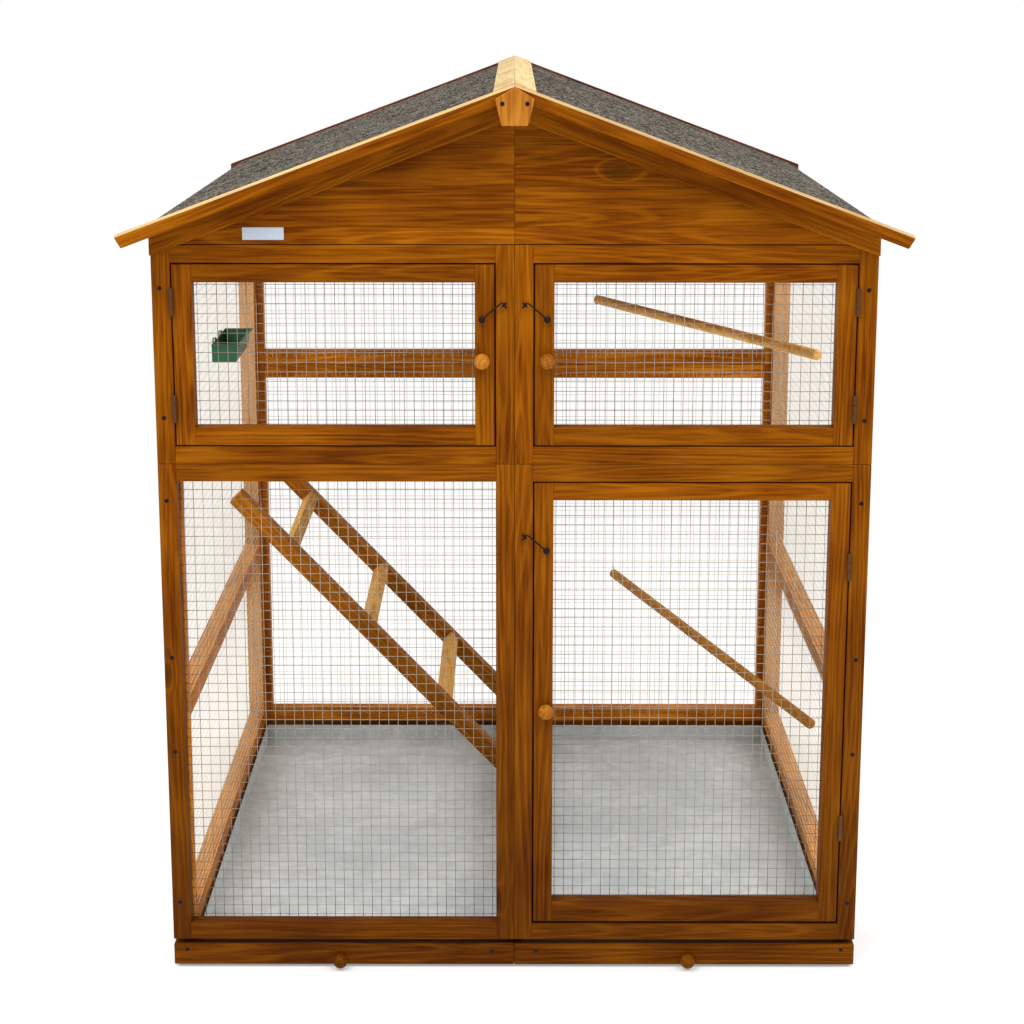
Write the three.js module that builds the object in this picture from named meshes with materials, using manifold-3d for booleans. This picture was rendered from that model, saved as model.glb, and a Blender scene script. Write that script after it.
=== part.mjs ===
// A garden bird aviary: framed wire-mesh panels under a felted gable roof, with three doors and two trays.
// Millimetres, +Z up, +X to the right of the front, which faces -Y. The origin is on the ground,
// under the middle of the cabin. The pieces are drawn with the front's outer plane at Y 0, and moved
// by half the cabin's depth as they are placed.
import * as THREE from "three";
import { mergeVertices } from "three/addons/utils/BufferGeometryUtils.js";
import { ConvexGeometry } from "three/addons/geometries/ConvexGeometry.js";
import Module from "manifold-3d";

const wasm = await Module();
wasm.setup();

// Cabin
const bodyWidth = 930;
const bodyDepth = 980;
const baseHeight = 41; // the panels stand this high, and the trays slide below them
const lowerPanelHeight = 663;
const upperPanelHeight = 285.5;
const sideLowerHeight = 316;
const backLowerHeight = 637;

// Timber of the panels
const stileWidth = 24;
const railWidth = 23;
const seamRail = 12; // the side panels' rails where the lower one meets the upper one
const backStileWidth = 12; // of the back panels' outer stiles, beside the side panels
const panelDepth = 26;
const rebateDepth = 2;
const rebateWidth = 8;

// Doors
const doorStile = 25;
const doorRail = 23;
const lowerDoorFootRail = 28;
const doorGap = 2;
const lowerDoorFootGap = 3.5;

// Wire nets, drawn with wider meshes than the half-inch mesh of the real panels
const netWire = 2.4;
const netThickness = 1.6;

// Roof
const roofRiseShare = 0.3721; // rise over run of the slopes
const gableFoot = 12; // the gables' height where they meet the sides
const eaveInset = 2; // from the cabin's sides in to the edges of the boards
const frontOverhang = 45;
const rearOverhang = 20;
const roofBoard = 9;
const feltThickness = 2;
const fasciaDepth = 18;
const fasciaHeight = 24;
const fasciaProud = 6;
const fasciaChamfer = 6;
const fasciaPast = 38; // the front fascias run on past the cabin's sides
const rearFasciaDepth = 12;
const rearFasciaPast = 18; // past the edges of the boards
const rakeTrimDepth = 12;
const rakeTrimHeight = 25;
const capWidth = 27;
const capThickness = 8;

// Gable boarding
const gableDepth = 20;
const plankPitch = 52;
const firstPlankHeight = 22.5;
const grooveDepth = 1.6;
const grooveWidth = 3.2;

// Block over the joint of the front fascias
const blockHeight = 47;
const blockShoulder = 32.5;
const blockWidth = 49;
const blockFoot = 33;
const blockDepth = 15;
const blockDrop = 3;

// Base runners and trays
const runnerLedge = 8;
const centreRunnerHeight = 72; // the ladder stands on the centre runner
const ledgeHeight = 5;
const trayFrontDepth = 18;
const trayFrontHeight = 30;
const trayFrontFloor = 4;
const traySheet = 1;
const trayWall = 28;
const trayGap = 2;

// Knobs
const doorKnobRadius = 10.2;
const doorKnobLength = 21;
const trayKnobRadius = 10;
const trayKnobLength = 19;
const knobNeckRadius = 6;
const doorKnobInset = 16;
const upperKnobDropShare = 0.526;
const lowerKnobRise = 302;
const trayKnobInset = 237;
const trayKnobHeight = 13;

// Hinges
const hingeLength = 36;
const barrelRadius = 3;
const pinRadius = 1.2;
const pinClearance = 0.3;
const hingeProud = 3.4;
const leafThickness = 0.6;
const leafDepth = 16;
const leafSink = 0.2;
const hingeInset = 48;
const lowerHingeInset = 112;
const lowerHingeFootInset = 136;

// Hooks and eyes
const hookWire = 1.1;
const hookRing = 3.4;
const hookPlane = 5;
const hookTail = 10;
const hookShank = 34;
const hookPivotInset = 16;
const upperHookDrop = 70;
const lowerHookDrop = 90;
const hookAngle = 40.6; // degrees between the shank and the horizontal
const screwNeck = 1.7;
const screwHead = 3.2;
const screwHeadDepth = 1.5;
const eyeRing = 3.6;
const eyeWire = 0.9;
const eyeSeat = 4.5; // from the hook's bend to the middle of the eye
const eyeShift = 0.5; // further from the pivot, so that the tail swings clear of the ring

// Perches: dowels from the back net to the right-hand net
const perchRadius = 6.3;
const upperPerchStart = 140;
const upperPerchEndHeight = 798;
const lowerPerchStart = 172;
const lowerPerchEndHeight = 262.5;
const perchHookWire = 1.2;
const perchHookRing = 4.4;
const perchHookShank = 9;

// Ladder of the left bay
const stringerDepth = 24;
const stringerThickness = 30;
const ladderWidth = 402.7;
const ladderTopHeight = 533.5; // of the stringers' lower edge where it meets the left net
const ladderBackGap = 27;
const rungWidth = 12;
const rungDepth = 21;
const rungPitch = 172;
const firstRung = 119;
const rungCount = 3;

// Feeder hung on the left net
const feederLength = 158;
const feederWidth = 40;
const feederHeight = 27;
const feederWall = 1.6;
const feederTaper = 5;
const feederRim = 3;
const feederStart = 366;
const feederHookWidth = 8;
const feederHookInset = 44;
const feederHookDrop = 7;

// Fits
const seat = 0.3; // between pieces that are screwed or laid together
const overrun = 1; // by which a cut runs past the face it cuts

// Counts
// Each net's columns and rows of meshes
const netMeshes = {
  sideUpper: [7, 7],
  sideLower: [9, 3],
  backUpper: [8, 3],
  backLower: [8, 7],
  front: [4, 6],
  upperDoor: [4, 2],
  lowerDoor: [4, 6],
};
const feederBarCount = 5; // the net bar, counted from below, that the feeder hangs on
// The bars of the back nets that the perches hook on, and those of the side nets that they end at
const upperPerchBarCount = 1;
const lowerPerchBarCount = 3;
const upperPerchColumnCount = 2;
const lowerPerchColumnCount = 2;
const roundCount = 16;
const wireCount = 8;

// Levels and planes worked out from the sizes above
const halfWidth = bodyWidth / 2;
const frontSeam = baseHeight + lowerPanelHeight;
const panelTop = frontSeam + upperPanelHeight;
const sideSeam = baseHeight + sideLowerHeight;
const backSeam = baseHeight + backLowerHeight;
const eaveReach = halfWidth - eaveInset;
const fasciaReach = halfWidth + fasciaPast;
const slope = Math.atan(roofRiseShare);
const vertical = 1 / Math.cos(slope);
const boardDrop = (roofBoard + feltThickness) * vertical;
const ridgeHeight = panelTop + gableFoot + seat + boardDrop + roofRiseShare * halfWidth;
const roofAt = (x) => ridgeHeight - roofRiseShare * Math.abs(x);
const undersideAt = (x) => roofAt(x) - boardDrop - seat;
const sideTop = undersideAt(halfWidth) - seat;
const innerX = halfWidth - panelDepth;
const innerFront = panelDepth;
const innerBack = bodyDepth - panelDepth;

const finish = (color, roughness, metalness = 0) =>
  new THREE.MeshStandardMaterial({ color, roughness, metalness });
const stainedPine = finish("#96540f", 0.55);
const darkStain = finish("#4a2c1c", 0.6);
const paleWood = finish("#f4d9a0", 0.6);
const beech = finish("#c8823a", 0.45);
const feltGrey = finish("#5f5e5b", 0.95);
const galvanised = finish("#b9c0c2", 0.4, 0.8);
const blackSteel = finish("#2a2320", 0.45, 0.7);
const greenPlastic = finish("#23693c", 0.4);

const aviary = new THREE.Group();

// A closed geometry as a solid, with its faces turned out.
function solid(geometry) {
  const plain = geometry.index ? geometry.clone() : geometry;
  const bare = new THREE.BufferGeometry();
  bare.setAttribute("position", plain.getAttribute("position"));
  if (plain.index) bare.setIndex(plain.index);
  const merged = mergeVertices(bare, 1e-4);
  const triVerts = new Uint32Array(merged.index.array);
  const vertProperties = new Float32Array(merged.attributes.position.array);
  const made = new wasm.Manifold(new wasm.Mesh({ numProp: 3, vertProperties, triVerts }));
  if (made.volume() >= 0) return made;
  for (let i = 0; i < triVerts.length; i += 3)
    [triVerts[i + 1], triVerts[i + 2]] = [triVerts[i + 2], triVerts[i + 1]];
  return new wasm.Manifold(new wasm.Mesh({ numProp: 3, vertProperties, triVerts }));
}

const join = (...solids) => solids.reduce((all, one) => all.add(one));
const cut = (base, ...tools) => tools.reduce((left, tool) => left.subtract(tool), base);

// Adds a solid to the aviary as a named mesh.
function place(name, shape, material) {
  const made = shape.translate([0, -bodyDepth / 2, 0]).getMesh();
  const geometry = new THREE.BufferGeometry();
  geometry.setAttribute("position", new THREE.BufferAttribute(made.vertProperties, 3));
  geometry.setIndex(new THREE.BufferAttribute(made.triVerts, 1));
  geometry.computeVertexNormals();
  const mesh = new THREE.Mesh(geometry, material);
  mesh.name = name;
  aviary.add(mesh);
}

function block(x0, x1, y0, y1, z0, z1) {
  const geometry = new THREE.BoxGeometry(x1 - x0, y1 - y0, z1 - z0);
  geometry.translate((x0 + x1) / 2, (y0 + y1) / 2, (z0 + z1) / 2);
  return solid(geometry);
}

const outline = (points) => new THREE.Shape(points.map(([a, b]) => new THREE.Vector2(a, b)));

// A profile in X and Z, drawn out along Y.
function alongY(points, y0, y1) {
  const geometry = new THREE.ExtrudeGeometry(outline(points), { depth: y1 - y0, bevelEnabled: false });
  geometry.rotateX(Math.PI / 2);
  geometry.translate(0, y1, 0);
  return solid(geometry);
}

// A profile in Y and Z, drawn out along X.
function alongX(points, x0, x1) {
  const geometry = new THREE.ExtrudeGeometry(outline(points), { depth: x1 - x0, bevelEnabled: false });
  const turn = new THREE.Matrix4().makeBasis(
    new THREE.Vector3(0, 1, 0),
    new THREE.Vector3(0, 0, 1),
    new THREE.Vector3(1, 0, 0),
  );
  geometry.applyMatrix4(turn);
  geometry.translate(x0, 0, 0);
  return solid(geometry);
}

// A round wire along a curve.
function wire(curve, radius, steps, sides = wireCount) {
  const section = new THREE.Shape();
  for (let i = 0; i < sides; i++) {
    const turn = (2 * Math.PI * i) / sides;
    const point = [radius * Math.cos(turn), radius * Math.sin(turn)];
    if (i) section.lineTo(...point);
    else section.moveTo(...point);
  }
  return solid(new THREE.ExtrudeGeometry(section, { steps, extrudePath: curve }));
}

// A round bar between two points.
function bar(from, to, radius, sides = roundCount) {
  const start = new THREE.Vector3(...from);
  const run = new THREE.Vector3(...to).sub(start);
  const geometry = new THREE.CylinderGeometry(radius, radius, run.length(), sides);
  geometry.translate(0, run.length() / 2, 0);
  const up = new THREE.Vector3(0, 1, 0);
  geometry.applyQuaternion(new THREE.Quaternion().setFromUnitVectors(up, run.normalize()));
  geometry.translate(start.x, start.y, start.z);
  return solid(geometry);
}

// The four walls a panel can stand in: u runs along the wall, v from its outer face inwards, w upwards.
const walls = {
  front: (u, v, w) => [u, v, w],
  back: (u, v, w) => [u, bodyDepth - v, w],
  left: (u, v, w) => [v - halfWidth, u, w],
  right: (u, v, w) => [halfWidth - v, u, w],
};

// A block in a wall.
function wallBlock(wall, u0, u1, v0, v1, w0, w1) {
  const [ax, ay, az] = walls[wall](u0, v0, w0);
  const [bx, by, bz] = walls[wall](u1, v1, w1);
  return block(Math.min(ax, bx), Math.max(ax, bx), Math.min(ay, by), Math.max(ay, by), az, bz);
}

// The window of a panel: where its rails and stiles leave it open.
const windowOf = (panel) => ({
  u0: panel.u0 + panel.stile,
  u1: panel.u1 - panel.stile,
  w0: panel.w0 + (panel.foot ?? panel.rail),
  w1: panel.w1 - panel.rail,
});

// A frame of stiles and rails, rebated on its inner side for the net, with a middle stile if it has one.
function frame(panel) {
  const { wall, u0, u1, w0, w1, middle, rebated } = panel;
  const open = windowOf(panel);
  const spans = middle ? [[open.u0, -middle], [middle, open.u1]] : [[open.u0, open.u1]];
  let made = wallBlock(wall, u0, u1, 0, panelDepth, w0, w1);
  for (const [a, b] of spans)
    made = made.subtract(wallBlock(wall, a, b, -overrun, panelDepth + overrun, open.w0, open.w1));
  if (!rebated) return made;
  const edge = panelDepth - rebateDepth;
  return made.subtract(
    wallBlock(
      wall,
      open.u0 - rebateWidth,
      open.u1 + rebateWidth,
      edge,
      panelDepth + overrun,
      open.w0 - rebateWidth,
      open.w1 + rebateWidth,
    ),
  );
}

// Where a net's bars lie between two ends: evenly spread, with half a bar inside the border.
const barPlaces = (from, to, count) =>
  Array.from({ length: count + 1 }, (_, i) => from + ((to - from) * i) / count);

// A flat net that fills a panel's rebate, opened into square meshes.
function net(panel, [columns, rows]) {
  const open = windowOf(panel);
  const border = rebateWidth - seat;
  const near = panelDepth - rebateDepth + seat / 2;
  const far = near + netThickness;
  const us = barPlaces(open.u0, open.u1, columns);
  const ws = barPlaces(open.w0, open.w1, rows);
  const half = netWire / 2;
  const meshes = [];
  for (let i = 0; i < columns; i++)
    for (let j = 0; j < rows; j++) {
      const [u0, u1] = [us[i] + half, us[i + 1] - half];
      const [w0, w1] = [ws[j] + half, ws[j + 1] - half];
      meshes.push(wallBlock(panel.wall, u0, u1, near - overrun, far + overrun, w0, w1));
    }
  const sheet = wallBlock(
    panel.wall,
    open.u0 - border,
    open.u1 + border,
    near,
    far,
    open.w0 - border,
    open.w1 + border,
  );
  return cut(sheet, ...meshes);
}

// Panels
const panelEdge = seat / 2;
const frontPanel = (side, lower, extra) => ({
  wall: "front",
  u0: side < 0 ? -halfWidth : panelEdge,
  u1: side < 0 ? -panelEdge : halfWidth,
  w0: lower ? baseHeight : frontSeam + seat,
  w1: lower ? frontSeam : panelTop,
  stile: stileWidth,
  rail: railWidth,
  ...extra,
});
const sidePanel = (wall, lower) => ({
  wall,
  u0: innerFront + seat,
  u1: innerBack - seat,
  w0: lower ? baseHeight : sideSeam + seat,
  w1: lower ? sideSeam : sideTop,
  stile: stileWidth,
  rail: lower ? seamRail : railWidth,
  foot: lower ? railWidth : seamRail,
  rebated: true,
});
const backPanel = (lower) => ({
  wall: "back",
  u0: -halfWidth,
  u1: halfWidth,
  w0: lower ? baseHeight : backSeam + seat,
  w1: lower ? backSeam : panelTop,
  stile: backStileWidth + panelDepth,
  rail: railWidth,
  middle: stileWidth,
  rebated: true,
});

const panels = {
  lowerLeft: frontPanel(-1, true, { rebated: true }),
  lowerRight: frontPanel(1, true),
  upperLeft: frontPanel(-1, false),
  upperRight: frontPanel(1, false),
  leftLower: sidePanel("left", true),
  leftUpper: sidePanel("left", false),
  rightLower: sidePanel("right", true),
  rightUpper: sidePanel("right", false),
  backLower: backPanel(true),
  backUpper: backPanel(false),
};

// Doors. side is -1 for a door hung on its left edge and 1 for one hung on its right edge.
function doorIn(panel, side, footGap, foot) {
  const open = windowOf(panel);
  return {
    wall: "front",
    side,
    u0: open.u0 + doorGap,
    u1: open.u1 - doorGap,
    w0: open.w0 + footGap,
    w1: open.w1 - doorGap,
    stile: doorStile,
    rail: doorRail,
    foot,
    rebated: true,
  };
}
const doors = {
  upper_left: doorIn(panels.upperLeft, -1, doorGap, doorRail),
  upper_right: doorIn(panels.upperRight, 1, doorGap, doorRail),
  lower_right: doorIn(panels.lowerRight, 1, lowerDoorFootGap, lowerDoorFootRail),
};

// Hinges: two barrels on the frame's leaf and one on the door's, turning on the frame's pin.
const axisOf = (door) => (door.side < 0 ? door.u0 - doorGap / 2 : door.u1 + doorGap / 2);
const hingeHeights = (door, [footInset, topInset]) => [door.w0 + footInset, door.w1 - topInset];

function leaf(door, ofDoor, z0, z1, y0, y1) {
  const edge = door.side < 0 ? door.u0 : door.u1;
  const face = ofDoor ? edge : edge + door.side * doorGap;
  const outward = ofDoor ? door.side : -door.side;
  const x0 = face - outward * leafSink;
  const x1 = face + outward * leafThickness;
  return block(Math.min(x0, x1), Math.max(x0, x1), y0, y1, z0, z1);
}

function frameLeaf(door, z) {
  const x = axisOf(door);
  const half = hingeLength / 2;
  const knuckle = hingeLength / 3;
  const barrels = [-half, half - knuckle].map((low) => {
    const post = bar([x, -hingeProud, z + low], [x, -hingeProud, z + low + knuckle], barrelRadius);
    return post.add(leaf(door, false, z + low, z + low + knuckle, -hingeProud, leafDepth / 2));
  });
  const pin = bar([x, -hingeProud, z - half], [x, -hingeProud, z + half], pinRadius, wireCount);
  const plate = leaf(door, false, z - half, z + half, seat, leafDepth);
  return join(...barrels, pin, plate);
}

function doorLeaf(door, z) {
  const x = axisOf(door);
  const low = z - hingeLength / 6 + seat;
  const high = z + hingeLength / 6 - seat;
  const half = hingeLength / 2;
  const barrel = bar([x, -hingeProud, low], [x, -hingeProud, high], barrelRadius);
  const neck = leaf(door, true, low, high, -hingeProud, leafDepth / 2);
  const plate = leaf(door, true, z - half, z + half, seat, leafDepth);
  const bore = bar(
    [x, -hingeProud, low - overrun],
    [x, -hingeProud, high + overrun],
    pinRadius + pinClearance,
    roundCount,
  );
  return join(barrel, neck, plate).subtract(bore);
}

// A hook's places in the front's plane: its pivot on the door, its bend, and the eye on the frame.
function hookPlaces(door, drop) {
  const free = door.side < 0 ? door.u1 : door.u0;
  const shank = THREE.MathUtils.degToRad(hookAngle);
  const along = [-door.side * Math.cos(shank), Math.sin(shank)];
  const tail = [-door.side * Math.sin(shank), -Math.cos(shank)];
  const pivot = [free + door.side * hookPivotInset, door.w1 - drop];
  const bend = [pivot[0] + along[0] * hookShank, pivot[1] + along[1] * hookShank];
  const eye = [0, 1].map((i) => bend[i] + tail[i] * eyeSeat + along[i] * eyeShift);
  const tip = [bend[0] + tail[0] * hookTail, bend[1] + tail[1] * hookTail];
  return { pivot, bend, eye, tip, along, tail };
}

const inFront = ([x, z], y = -hookPlane) => new THREE.Vector3(x, y, z);

// A ring of round wire with its axis along a direction.
function ring(radius, thickness, centre, axis, sides = 24) {
  const geometry = new THREE.TorusGeometry(radius, thickness, wireCount, sides);
  const ahead = new THREE.Vector3(0, 0, 1);
  geometry.applyQuaternion(new THREE.Quaternion().setFromUnitVectors(ahead, axis.normalize()));
  geometry.translate(centre.x, centre.y, centre.z);
  return solid(geometry);
}

function hook(door, drop) {
  const { pivot, bend, tip, along, tail } = hookPlaces(door, drop);
  const start = [pivot[0] + along[0] * hookRing, pivot[1] + along[1] * hookRing];
  const corner = hookWire * 2;
  const before = [bend[0] - along[0] * corner, bend[1] - along[1] * corner];
  const after = [bend[0] + tail[0] * corner, bend[1] + tail[1] * corner];
  const path = new THREE.CurvePath();
  path.add(new THREE.LineCurve3(inFront(start), inFront(before)));
  path.add(new THREE.QuadraticBezierCurve3(inFront(before), inFront(bend), inFront(after)));
  path.add(new THREE.LineCurve3(inFront(after), inFront(tip)));
  const loop = ring(hookRing, hookWire, inFront(pivot), new THREE.Vector3(0, 1, 0));
  return join(loop, wire(path, hookWire, 28));
}

function pivotScrew(door, drop) {
  const { pivot } = hookPlaces(door, drop);
  const neckEnd = hookPlane + hookWire * 2;
  const neck = bar([pivot[0], overrun, pivot[1]], [pivot[0], -neckEnd, pivot[1]], screwNeck);
  const headEnd = neckEnd + screwHeadDepth;
  const head = bar([pivot[0], -neckEnd + leafSink, pivot[1]], [pivot[0], -headEnd, pivot[1]], screwHead);
  return neck.add(head);
}

function catchEye(door, drop) {
  const { eye, tail } = hookPlaces(door, drop);
  const loop = ring(eyeRing, eyeWire, inFront(eye), new THREE.Vector3(tail[0], 0, tail[1]));
  const root = hookPlane - eyeRing;
  const stem = bar([eye[0], overrun, eye[1]], [eye[0], -root, eye[1]], eyeWire, wireCount);
  return loop.add(stem);
}

const hookDrops = { upper_left: upperHookDrop, upper_right: upperHookDrop, lower_right: lowerHookDrop };
const hingeInsets = {
  upper_left: [hingeInset, hingeInset],
  upper_right: [hingeInset, hingeInset],
  lower_right: [lowerHingeFootInset, lowerHingeInset],
};

function doorPost(panel, name) {
  const door = doors[name];
  const leaves = hingeHeights(door, hingeInsets[name]).map((z) => frameLeaf(door, z));
  return join(frame(panel), ...leaves, catchEye(door, hookDrops[name]));
}

// A turned knob that stands out of the front, drawn as a ball on a short neck.
function knob(radius, length, x, z, y = 0) {
  const profile = [new THREE.Vector2(0, 0), new THREE.Vector2(knobNeckRadius, 0)];
  const middle = length - radius;
  const meet = Math.acos(-Math.sqrt(1 - (knobNeckRadius / radius) ** 2));
  const steps = 8;
  for (let i = 0; i <= steps; i++) {
    const turn = meet * (1 - i / steps);
    const out = i === steps ? 0 : radius * Math.sin(turn);
    profile.push(new THREE.Vector2(out, middle + radius * Math.cos(turn)));
  }
  const geometry = new THREE.LatheGeometry(profile, roundCount);
  geometry.scale(1, -1, 1);
  geometry.translate(x, y - seat / 2, z);
  return solid(geometry);
}

place("front_frame_lower_left", frame(panels.lowerLeft), stainedPine);
place("front_frame_lower_right", doorPost(panels.lowerRight, "lower_right"), stainedPine);
place("front_frame_upper_left", doorPost(panels.upperLeft, "upper_left"), stainedPine);
place("front_frame_upper_right", doorPost(panels.upperRight, "upper_right"), stainedPine);
place("side_frame_left_lower", frame(panels.leftLower), stainedPine);
place("side_frame_left_upper", frame(panels.leftUpper), stainedPine);
place("side_frame_right_lower", frame(panels.rightLower), stainedPine);
place("side_frame_right_upper", frame(panels.rightUpper), stainedPine);
place("back_frame_lower", frame(panels.backLower), stainedPine);
place("back_frame_upper", frame(panels.backUpper), stainedPine);

place("net_lower_left", net(panels.lowerLeft, netMeshes.front), galvanised);
place("net_side_left_lower", net(panels.leftLower, netMeshes.sideLower), galvanised);
place("net_side_left_upper", net(panels.leftUpper, netMeshes.sideUpper), galvanised);
place("net_side_right_lower", net(panels.rightLower, netMeshes.sideLower), galvanised);
place("net_side_right_upper", net(panels.rightUpper, netMeshes.sideUpper), galvanised);
place("net_back_lower", net(panels.backLower, netMeshes.backLower), galvanised);
place("net_back_upper", net(panels.backUpper, netMeshes.backUpper), galvanised);

const doorMeshes = {
  upper_left: netMeshes.upperDoor,
  upper_right: netMeshes.upperDoor,
  lower_right: netMeshes.lowerDoor,
};
const knobHeights = (door, name) =>
  name === "lower_right" ? door.w0 + lowerKnobRise : door.w1 - (door.w1 - door.w0) * upperKnobDropShare;
for (const [name, door] of Object.entries(doors)) {
  const leaves = hingeHeights(door, hingeInsets[name]).map((z) => doorLeaf(door, z));
  place("door_frame_" + name, join(frame(door), ...leaves, pivotScrew(door, hookDrops[name])), stainedPine);
  place("door_net_" + name, net(door, doorMeshes[name]), galvanised);
  const free = door.side < 0 ? door.u1 : door.u0;
  const x = free + door.side * doorKnobInset;
  place("door_knob_" + name, knob(doorKnobRadius, doorKnobLength, x, knobHeights(door, name)), beech);
  place("door_hook_" + name, hook(door, hookDrops[name]), blackSteel);
}

// Gables: boarded halves that carry the roof at the front and the back.
function gableHalf(side, y0, y1, outerFace) {
  const low = panelTop + seat;
  const edge = panelEdge;
  const points = [
    [edge, low],
    [halfWidth, low],
    [halfWidth, undersideAt(halfWidth)],
    [edge, undersideAt(edge)],
  ];
  const board = alongY(points.map(([x, z]) => [side * x, z]), y0, y1);
  const into = outerFace === y0 ? 1 : -1;
  const grooves = [];
  for (let z = panelTop + firstPlankHeight; z < undersideAt(0); z += plankPitch) {
    const profile = [
      [outerFace - into * overrun, z - grooveWidth],
      [outerFace + into * grooveDepth, z],
      [outerFace - into * overrun, z + grooveWidth],
    ];
    grooves.push(alongX(profile, side < 0 ? -halfWidth - overrun : 0, side < 0 ? 0 : halfWidth + overrun));
  }
  return cut(board, ...grooves);
}
for (const [side, name] of [[-1, "left"], [1, "right"]]) {
  place("gable_front_" + name, gableHalf(side, 0, gableDepth, 0), stainedPine);
  place("gable_rear_" + name, gableHalf(side, bodyDepth - gableDepth, bodyDepth, bodyDepth), stainedPine);
}

// A band under or over a roof slope, between two vertical offsets from the felt's top.
function slopeBand(side, from, to, high, low, y0, y1) {
  const points = [
    [side * from, roofAt(from) + high],
    [side * to, roofAt(to) + high],
    [side * to, roofAt(to) + low],
    [side * from, roofAt(from) + low],
  ];
  return alongY(points, y0, y1);
}

const roofFront = -frontOverhang + fasciaDepth + seat;
const roofBack = bodyDepth + rearOverhang;
const feltDrop = feltThickness * vertical;
const fasciaTop = fasciaProud * vertical;
const fasciaFoot = fasciaTop - fasciaHeight * vertical;

// A fascia's top edge is planed off towards the front.
function fascia(side, reach, y0, y1, chamfer) {
  const band = slopeBand(side, panelEdge, reach, fasciaTop, fasciaFoot, y0, y1);
  if (!chamfer) return band;
  const geometry = new THREE.BoxGeometry(reach * 3, chamfer, chamfer * 2);
  geometry.rotateX(-Math.PI / 4);
  geometry.rotateY(side * slope);
  geometry.translate(0, y0 - chamfer / 8, ridgeHeight + fasciaTop + chamfer / 8);
  return band.subtract(solid(geometry));
}

for (const [side, name] of [[-1, "left"], [1, "right"]]) {
  const board = slopeBand(side, panelEdge, eaveReach, -feltDrop - seat / 2, -boardDrop, roofFront, roofBack);
  place("roof_board_" + name, board, stainedPine);
  place("roof_felt_" + name, slopeBand(side, panelEdge, eaveReach, 0, -feltDrop, roofFront, roofBack), feltGrey);
  const front = fascia(side, fasciaReach, -frontOverhang, roofFront - seat, fasciaChamfer);
  place("fascia_front_" + name, front, stainedPine);
  const rear = fascia(side, eaveReach + rearFasciaPast, roofBack + seat, roofBack + seat + rearFasciaDepth, 0);
  place("fascia_rear_" + name, rear, darkStain);
  const trimTop = -boardDrop - seat;
  const trim = slopeBand(side, panelEdge, halfWidth, trimTop, trimTop - rakeTrimHeight, -rakeTrimDepth - seat, -seat);
  place("rake_trim_" + name, trim, stainedPine);
  const capLow = seat;
  const cap = slopeBand(
    side,
    panelEdge,
    capWidth,
    capLow + capThickness,
    capLow,
    roofFront,
    roofBack,
  );
  place("ridge_cap_" + name, cap, paleWood);
}

// The block over the fascias' joint
const blockTop = ridgeHeight + fasciaTop - blockDrop;
const blockPoints = [
  [0, blockTop],
  [-blockWidth / 2, blockTop - blockHeight + blockShoulder],
  [-blockFoot / 2, blockTop - blockHeight],
  [blockFoot / 2, blockTop - blockHeight],
  [blockWidth / 2, blockTop - blockHeight + blockShoulder],
];
const blockBack = -frontOverhang - seat;
place("ridge_block", alongY(blockPoints, blockBack - blockDepth, blockBack), beech);

// Base runners, with ledges that the trays slide on
const runnerTop = baseHeight - seat;
const runnerFront = trayFrontDepth + seat;
const outerRunner = (side) =>
  alongY(
    [
      [side * halfWidth, 0],
      [side * (innerX - runnerLedge), 0],
      [side * (innerX - runnerLedge), ledgeHeight],
      [side * innerX, ledgeHeight],
      [side * innerX, runnerTop],
      [side * halfWidth, runnerTop],
    ],
    runnerFront,
    innerBack - seat,
  );
place("base_runner_left", outerRunner(-1), stainedPine);
place("base_runner_right", outerRunner(1), stainedPine);
place("base_runner_rear", block(-halfWidth, halfWidth, innerBack, bodyDepth, 0, runnerTop), stainedPine);
const centreHalf = stileWidth / 2;
const centreEdge = centreHalf + runnerLedge;
const centreProfile = [
  [-centreEdge, 0],
  [centreEdge, 0],
  [centreEdge, ledgeHeight],
  [centreHalf, ledgeHeight],
  [centreHalf, runnerTop],
  [-centreHalf, runnerTop],
  [-centreHalf, ledgeHeight],
  [-centreEdge, ledgeHeight],
];
const centreFoot = alongY(centreProfile, runnerFront, innerBack - seat);
const centreTop = block(
  -centreHalf,
  centreHalf,
  innerFront + seat,
  innerBack - seat,
  ledgeHeight,
  centreRunnerHeight,
);
place("base_runner_centre", join(centreFoot, centreTop), stainedPine);

// Trays of galvanised sheet, each with a wooden front and a knob
for (const [side, name] of [[-1, "left"], [1, "right"]]) {
  const inner = centreHalf + trayGap;
  const outer = innerX - trayGap;
  const [x0, x1] = side < 0 ? [-outer, -inner] : [inner, outer];
  const y0 = trayFrontDepth + seat;
  const y1 = innerBack - trayGap;
  const z0 = ledgeHeight + seat;
  const z1 = z0 + trayWall;
  const pan = block(x0, x1, y0, y1, z0, z1);
  const hollow = block(x0 + traySheet, x1 - traySheet, y0 + traySheet, y1 - traySheet, z0 + traySheet, z1 + overrun);
  place("tray_" + name, cut(pan, hollow), galvanised);
  const [f0, f1] = side < 0 ? [-halfWidth, -panelEdge] : [panelEdge, halfWidth];
  const front = block(f0, f1, 0, trayFrontDepth, trayFrontFloor, trayFrontFloor + trayFrontHeight);
  place("tray_front_" + name, front, stainedPine);
  place("tray_knob_" + name, knob(trayKnobRadius, trayKnobLength, side * trayKnobInset, trayKnobHeight), beech);
}

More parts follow.
